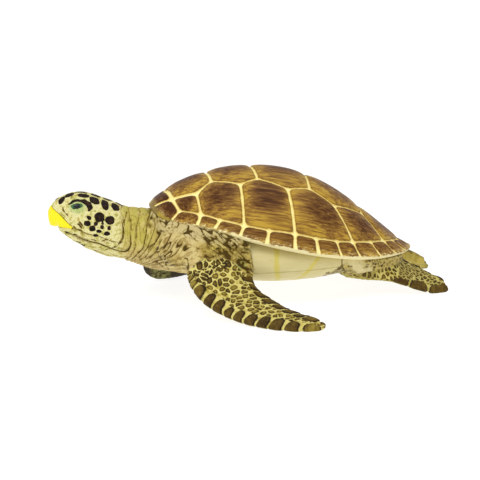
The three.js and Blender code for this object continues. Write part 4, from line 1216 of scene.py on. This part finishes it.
def paint_skin():
    """Cream and olive skin, dark wash and painted shade in the folds, brown flipper scales, spots on the head.
    """
    p = Paint("skin_paint", 0.48)
    edge, dark, scaly, pebbly, valley, head, spots, neck, armpit, lapped = p.fields(
        "edge dark scaly pebbly valley head spots neck armpit lapped")
    under, far_side, green, tail, top, mossy, ivory, hind, reach = p.fields(
        "under far_side green tail top mossy ivory hind reach")
    patch, mottle, speck = p.noise(16, 3, 0.5, 1), p.noise(3.5, 4, 0.65, 2), p.noise(0.9, 3, 0.7, 3)

    # Bare skin, greener on the neck and darker in the armpits.
    skin = patch.stops({0.34: "#baa068", 0.46: "#cebc7e", 0.56: "#c4ae6c",
                        0.68: "#ac944e"})
    tinted = p.noise(9, 3, 0.5, 4).stops({0.35: "#c6b45c", 0.5: "#b2aa46",
                                          0.65: "#c8b86a"})
    skin = skin.coat(neck * 0.85, tinted)
    pale = p.mix(mottle.step(0.38, 0.58), "#beaa54", "#927c3c")
    skin = skin.coat(armpit * patch.step(0.3, 0.6, 0.6, 1), pale)
    skin = skin.coat((mossy + mottle.spread(0.9)).step(0.3, 0.7, 0, 0.8), "#8ea054")
    skin = skin.coat(lapped * 0.6, "#c8ba88")
    skin = skin.coat(mottle.step(0.54, 0.78, 0, 0.6), "#8a723a")
    skin = skin.coat(speck.step(0.6, 0.72, 0, 0.5), "#604a26")

    # Paler head, then every fold darkened: the toy's dark wash and painted shade in the creases.
    face = p.noise(4.6, 4, 0.62, 5).stops({
        0.34: "#8e843e", 0.43: "#c4bc6c", 0.53: "#e2dca4",
        0.63: "#c4b668", 0.7: "#a08e4a"})
    face = face.coat(speck.step(0.56, 0.72, 0, 0.5), "#887638")
    skin = skin.coat(head, face.coat(green * 0.7, "#a4ba76"))
    fold_wash_and_shade = valley + speck.spread(0.7) + mottle.spread(0.5)
    skin = skin.coat(fold_wash_and_shade.step(0.12, 0.5, 0, 0.8), "#88702e")
    skin = skin.coat(fold_wash_and_shade.step(0.44, 0.78, 0, 0.95), "#463410")

    # Pebbly hips, the tail and the bridge's ivory.
    grit = edge + speck.spread(0.8) + mottle.spread(0.5)
    stain = (dark + patch.spread(1.2) + mottle.spread(0.8)).step(0.2, 0.6)
    warty = p.mix(grit.step(-0.2, 0.15), "#baa860", p.mix(stain, "#8c783a", "#544026"))
    skin = skin.coat(pebbly * (patch + mottle.spread(0.4)).step(0.3, 0.46, 0.35, 1), warty)
    rear = p.mix(mottle.step(0.4, 0.7), "#bca852", "#9c863a")
    skin = skin.coat(tail, rear.coat((top + mottle.spread(0.9)).step(0.8, 1.25, 0, 0.9), "#544026"))
    skin = skin.coat(ivory, p.mix(mottle, "#ded29c", "#c4b47e"))

    # Flippers: brown scales on yellow, painted shade over the far one and plain underneath.
    border = edge + speck.spread(0.6) + mottle.spread(0.6)
    seam = p.mix(mottle.step(0.42, 0.66), "#d8ca76", "#ac9a42")
    seam = seam.coat(hind * patch.step(0.36, 0.6, 0.2, 0.9), "#988a48")
    # Scales darken towards their borders: the toy's dark outlines and painted shade where each scale dips into
    # its seam.
    level = dark + mottle.spread(1.1) + edge.step(0.9, 0.2, -0.16, 0.4)
    scale = level.stops({0.05: "#928034", 0.3: "#705a22", 0.55: "#544018",
                         0.8: "#3e2e14", 1.0: "#2e2212"})
    scale = scale.coat(speck.step(0.56, 0.72) * edge.step(0.3, 1.2, 0, 0.45), "#a69052")
    flipper_paint = seam.coat(border.step(-0.16, 0.16), scale)
    # The far flipper's end: its dark leading scale, then olive, then painted shadow by the chest, mottled with
    # dark brown.
    ends = (reach + mottle.spread(0.3)).stops({
        0.12: "#423c30", 0.24: "#8a864e", 0.56: "#7a763e", 0.76: "#2c2218"})
    far_flipper_shadow_paint = ends.coat((mottle + speck.spread(0.6)).step(0.44, 0.6), "#382e1c")
    plain = p.mix(mottle.step(0.42, 0.66), "#beb058", "#96843a")
    flipper_paint = flipper_paint.coat(far_side, far_flipper_shadow_paint).coat(under * 0.7, plain)
    colour = skin.coat((scaly + mottle.spread(0.5)).step(0.35, 0.65), flipper_paint)

    ink = (spots + speck.spread(0.5) + mottle.spread(0.3)).step(-0.08, 0.12)
    spot_paint = p.mix(mottle.step(0.42, 0.7), "#1c140e", "#3e2a1e")
    colour = colour.coat(ink * head.step(0.02, 0.2), spot_paint)
    grain = p.noise(1.1, 4, 0.6, 7) + speck * 0.5
    return p.finish(colour, grain, 0.25, mottle.step(0.3, 0.7, 0.42, 0.54))


def paint_plastron():
    """Ivory plate with soft yellow seams, a level crease and a greyish bloom."""
    p = Paint("plastron_paint", 0.42, 0.04, 0.12)
    seam, low, scaly = p.fields("seam low scaly")
    colour = p.mix(p.noise((22, 14, 8), 3, 0.5, 1), "#dace98", "#c2b57c")
    colour = colour.coat(p.noise((9, 1.2, 1.2), 3, 0.6, 2).step(0.5, 0.75, 0, 0.5), "#baac70")
    line = seam + p.noise(2.5, 3, 0.6, 3).spread(1.8) + p.noise(9, 2, 0.5, 4).spread(2.0)
    colour = colour.coat(line.step(2.3, 0.8, 0, 0.7), "#ccbc4e")
    fleck = p.mix(p.noise(2.2, 3, 0.7, 7).step(0.44, 0.54), "#baac62", "#604c28")
    colour = colour.coat((scaly + p.noise(3, 3, 0.6, 8).spread(0.9)).step(0.45, 0.6), fleck)
    crease = low + p.noise((8, 8, 1.0), 2, 0.5, 5).spread(0.8)
    colour = colour.coat(crease.step(0.55, 0.1, 0, 0.5), "#968842")
    return p.finish(colour, p.noise((4, 0.9, 0.9), 4, 0.6, 6), 0.12)


def paint_beak():
    """Bright yellow, a little deeper in patches."""
    p = Paint("beak_paint", 0.38, 0.06, 0.2)
    colour = p.mix(p.noise(3.2, 3, 0.55, 1), "#faec16", "#eed60e")
    colour = colour.coat(p.noise(0.8, 3, 0.7, 2).step(0.62, 0.78, 0, 0.3), "#ceb028")
    return p.finish(colour, p.noise((2.4, 0.8, 0.8), 3, 0.5, 3), 0.08)


def paint_eye():
    """Green iris round a dark pupil, under a wet gloss."""
    p = Paint("eye_paint", 0.25, 0.3, 0.2)
    [iris] = p.fields("iris")
    colour = ((iris + p.noise(0.5, 3, 0.6, 1).spread(0.5)) * 0.2).stops({
        0.0: "#080c0b", 0.27: "#0a1410", 0.38: "#1a422a", 0.58: "#4a744a",
        0.85: "#849868"})
    return p.finish(colour, p.noise(0.4, 2, 0.5, 2), 0.02)


# The figure

flesh = flesh_shapes()
shell_points, shell_quads = build_carapace(paint_carapace())
shell_set = level_set(shell_points, split(shell_quads))
build_skin(flesh, shell_set, paint_skin())
build_plastron(flesh, shell_set, paint_plastron())
build_beak(paint_beak())
eye_paint = paint_eye()
build_eye(-1, "left", eye_paint)
build_eye(1, "right", eye_paint)


# Studio

CAMERA_AZIMUTH = math.radians(-5)
CAMERA_ELEVATION = math.radians(7.865)
CAMERA_ROLL = math.radians(-3)
CAMERA_DISTANCE = 620
CAMERA_TARGET = np.array([-28.787, 0, 37.327])
CAMERA_LENS = 67.31


def add_camera():
    a, e, r = CAMERA_AZIMUTH, CAMERA_ELEVATION, CAMERA_ROLL
    back = Vector((math.sin(a) * math.cos(e), -math.cos(a) * math.cos(e), math.sin(e)))
    level = Vector((0, 0, 1)).cross(back).normalized()
    rise = back.cross(level)
    right = math.cos(r) * level + math.sin(r) * rise
    up = back.cross(right)
    camera = bpy.data.cameras.new("camera")
    camera.lens = CAMERA_LENS
    camera.sensor_width = 36
    camera.clip_start = 0.01
    holder = bpy.data.objects.new("camera", camera)
    place = Vector((CAMERA_TARGET + ORIGIN) * MM) + back * CAMERA_DISTANCE * MM
    holder.matrix_world = Matrix.Translation(place) @ Matrix((right, up, back)).transposed().to_4x4()
    bpy.context.scene.collection.objects.link(holder)
    bpy.context.scene.camera = holder


def add_lamp(name, place, aim, size, power):
    lamp = bpy.data.lights.new(name, "AREA")
    lamp.shape = "DISK"
    lamp.size = size
    lamp.energy = power
    holder = bpy.data.objects.new(name, lamp)
    holder.location = place
    holder.rotation_euler = (Vector(aim) - Vector(place)).to_track_quat("-Z", "Y").to_euler()
    bpy.context.scene.collection.objects.link(holder)


def add_floor():
    """Wide pale dish: a flat floor whose far edge curves up all round."""
    flat, rise, turns, bends = 2.2, 1.0, 96, 24
    bend = np.linspace(0, np.pi / 2, bends)
    radius = np.concatenate([[0.5, 1.2], flat + rise * np.sin(bend)])
    height = np.concatenate([[0, 0], rise * (1 - np.cos(bend))])
    angle = np.arange(turns) / turns * 2 * np.pi
    points = rings(radius[:, None] * np.cos(angle), radius[:, None] * np.sin(angle), height[:, None])
    faces = [list(range(turns))] + grid_quads(len(radius), turns).tolist()
    mesh = bpy.data.meshes.new("floor")
    mesh.from_pydata(points.reshape(-1, 3).tolist(), [], faces)
    mesh.shade_smooth()
    p = Paint("floor_white", 0.9, gloss=0.0)
    p.wire(p.shader, {
        "Base Color": (0.3, 0.3, 0.3, 1), "Emission Color": (1, 1, 1, 1), "Emission Strength": 0.86})
    mesh.materials.append(p.material)
    floor = bpy.data.objects.new("floor", mesh)
    bpy.context.scene.collection.objects.link(floor)


def add_studio():
    add_camera()
    add_floor()
    world = bpy.data.worlds.new("studio")
    world.use_nodes = True
    world.node_tree.nodes["Background"].inputs["Color"].default_value = (1, 1, 1, 1)
    world.node_tree.nodes["Background"].inputs["Strength"].default_value = 0.5
    bpy.context.scene.world = world
    add_lamp("key", (-0.4, -0.7, 0.9), (0, 0, 0.05), 0.6, 6)
    add_lamp("top", (0.25, 0.2, 1.1), (0, 0, 0.05), 0.9, 3)
    bpy.context.scene.view_settings.view_transform = "Standard"


add_studio()
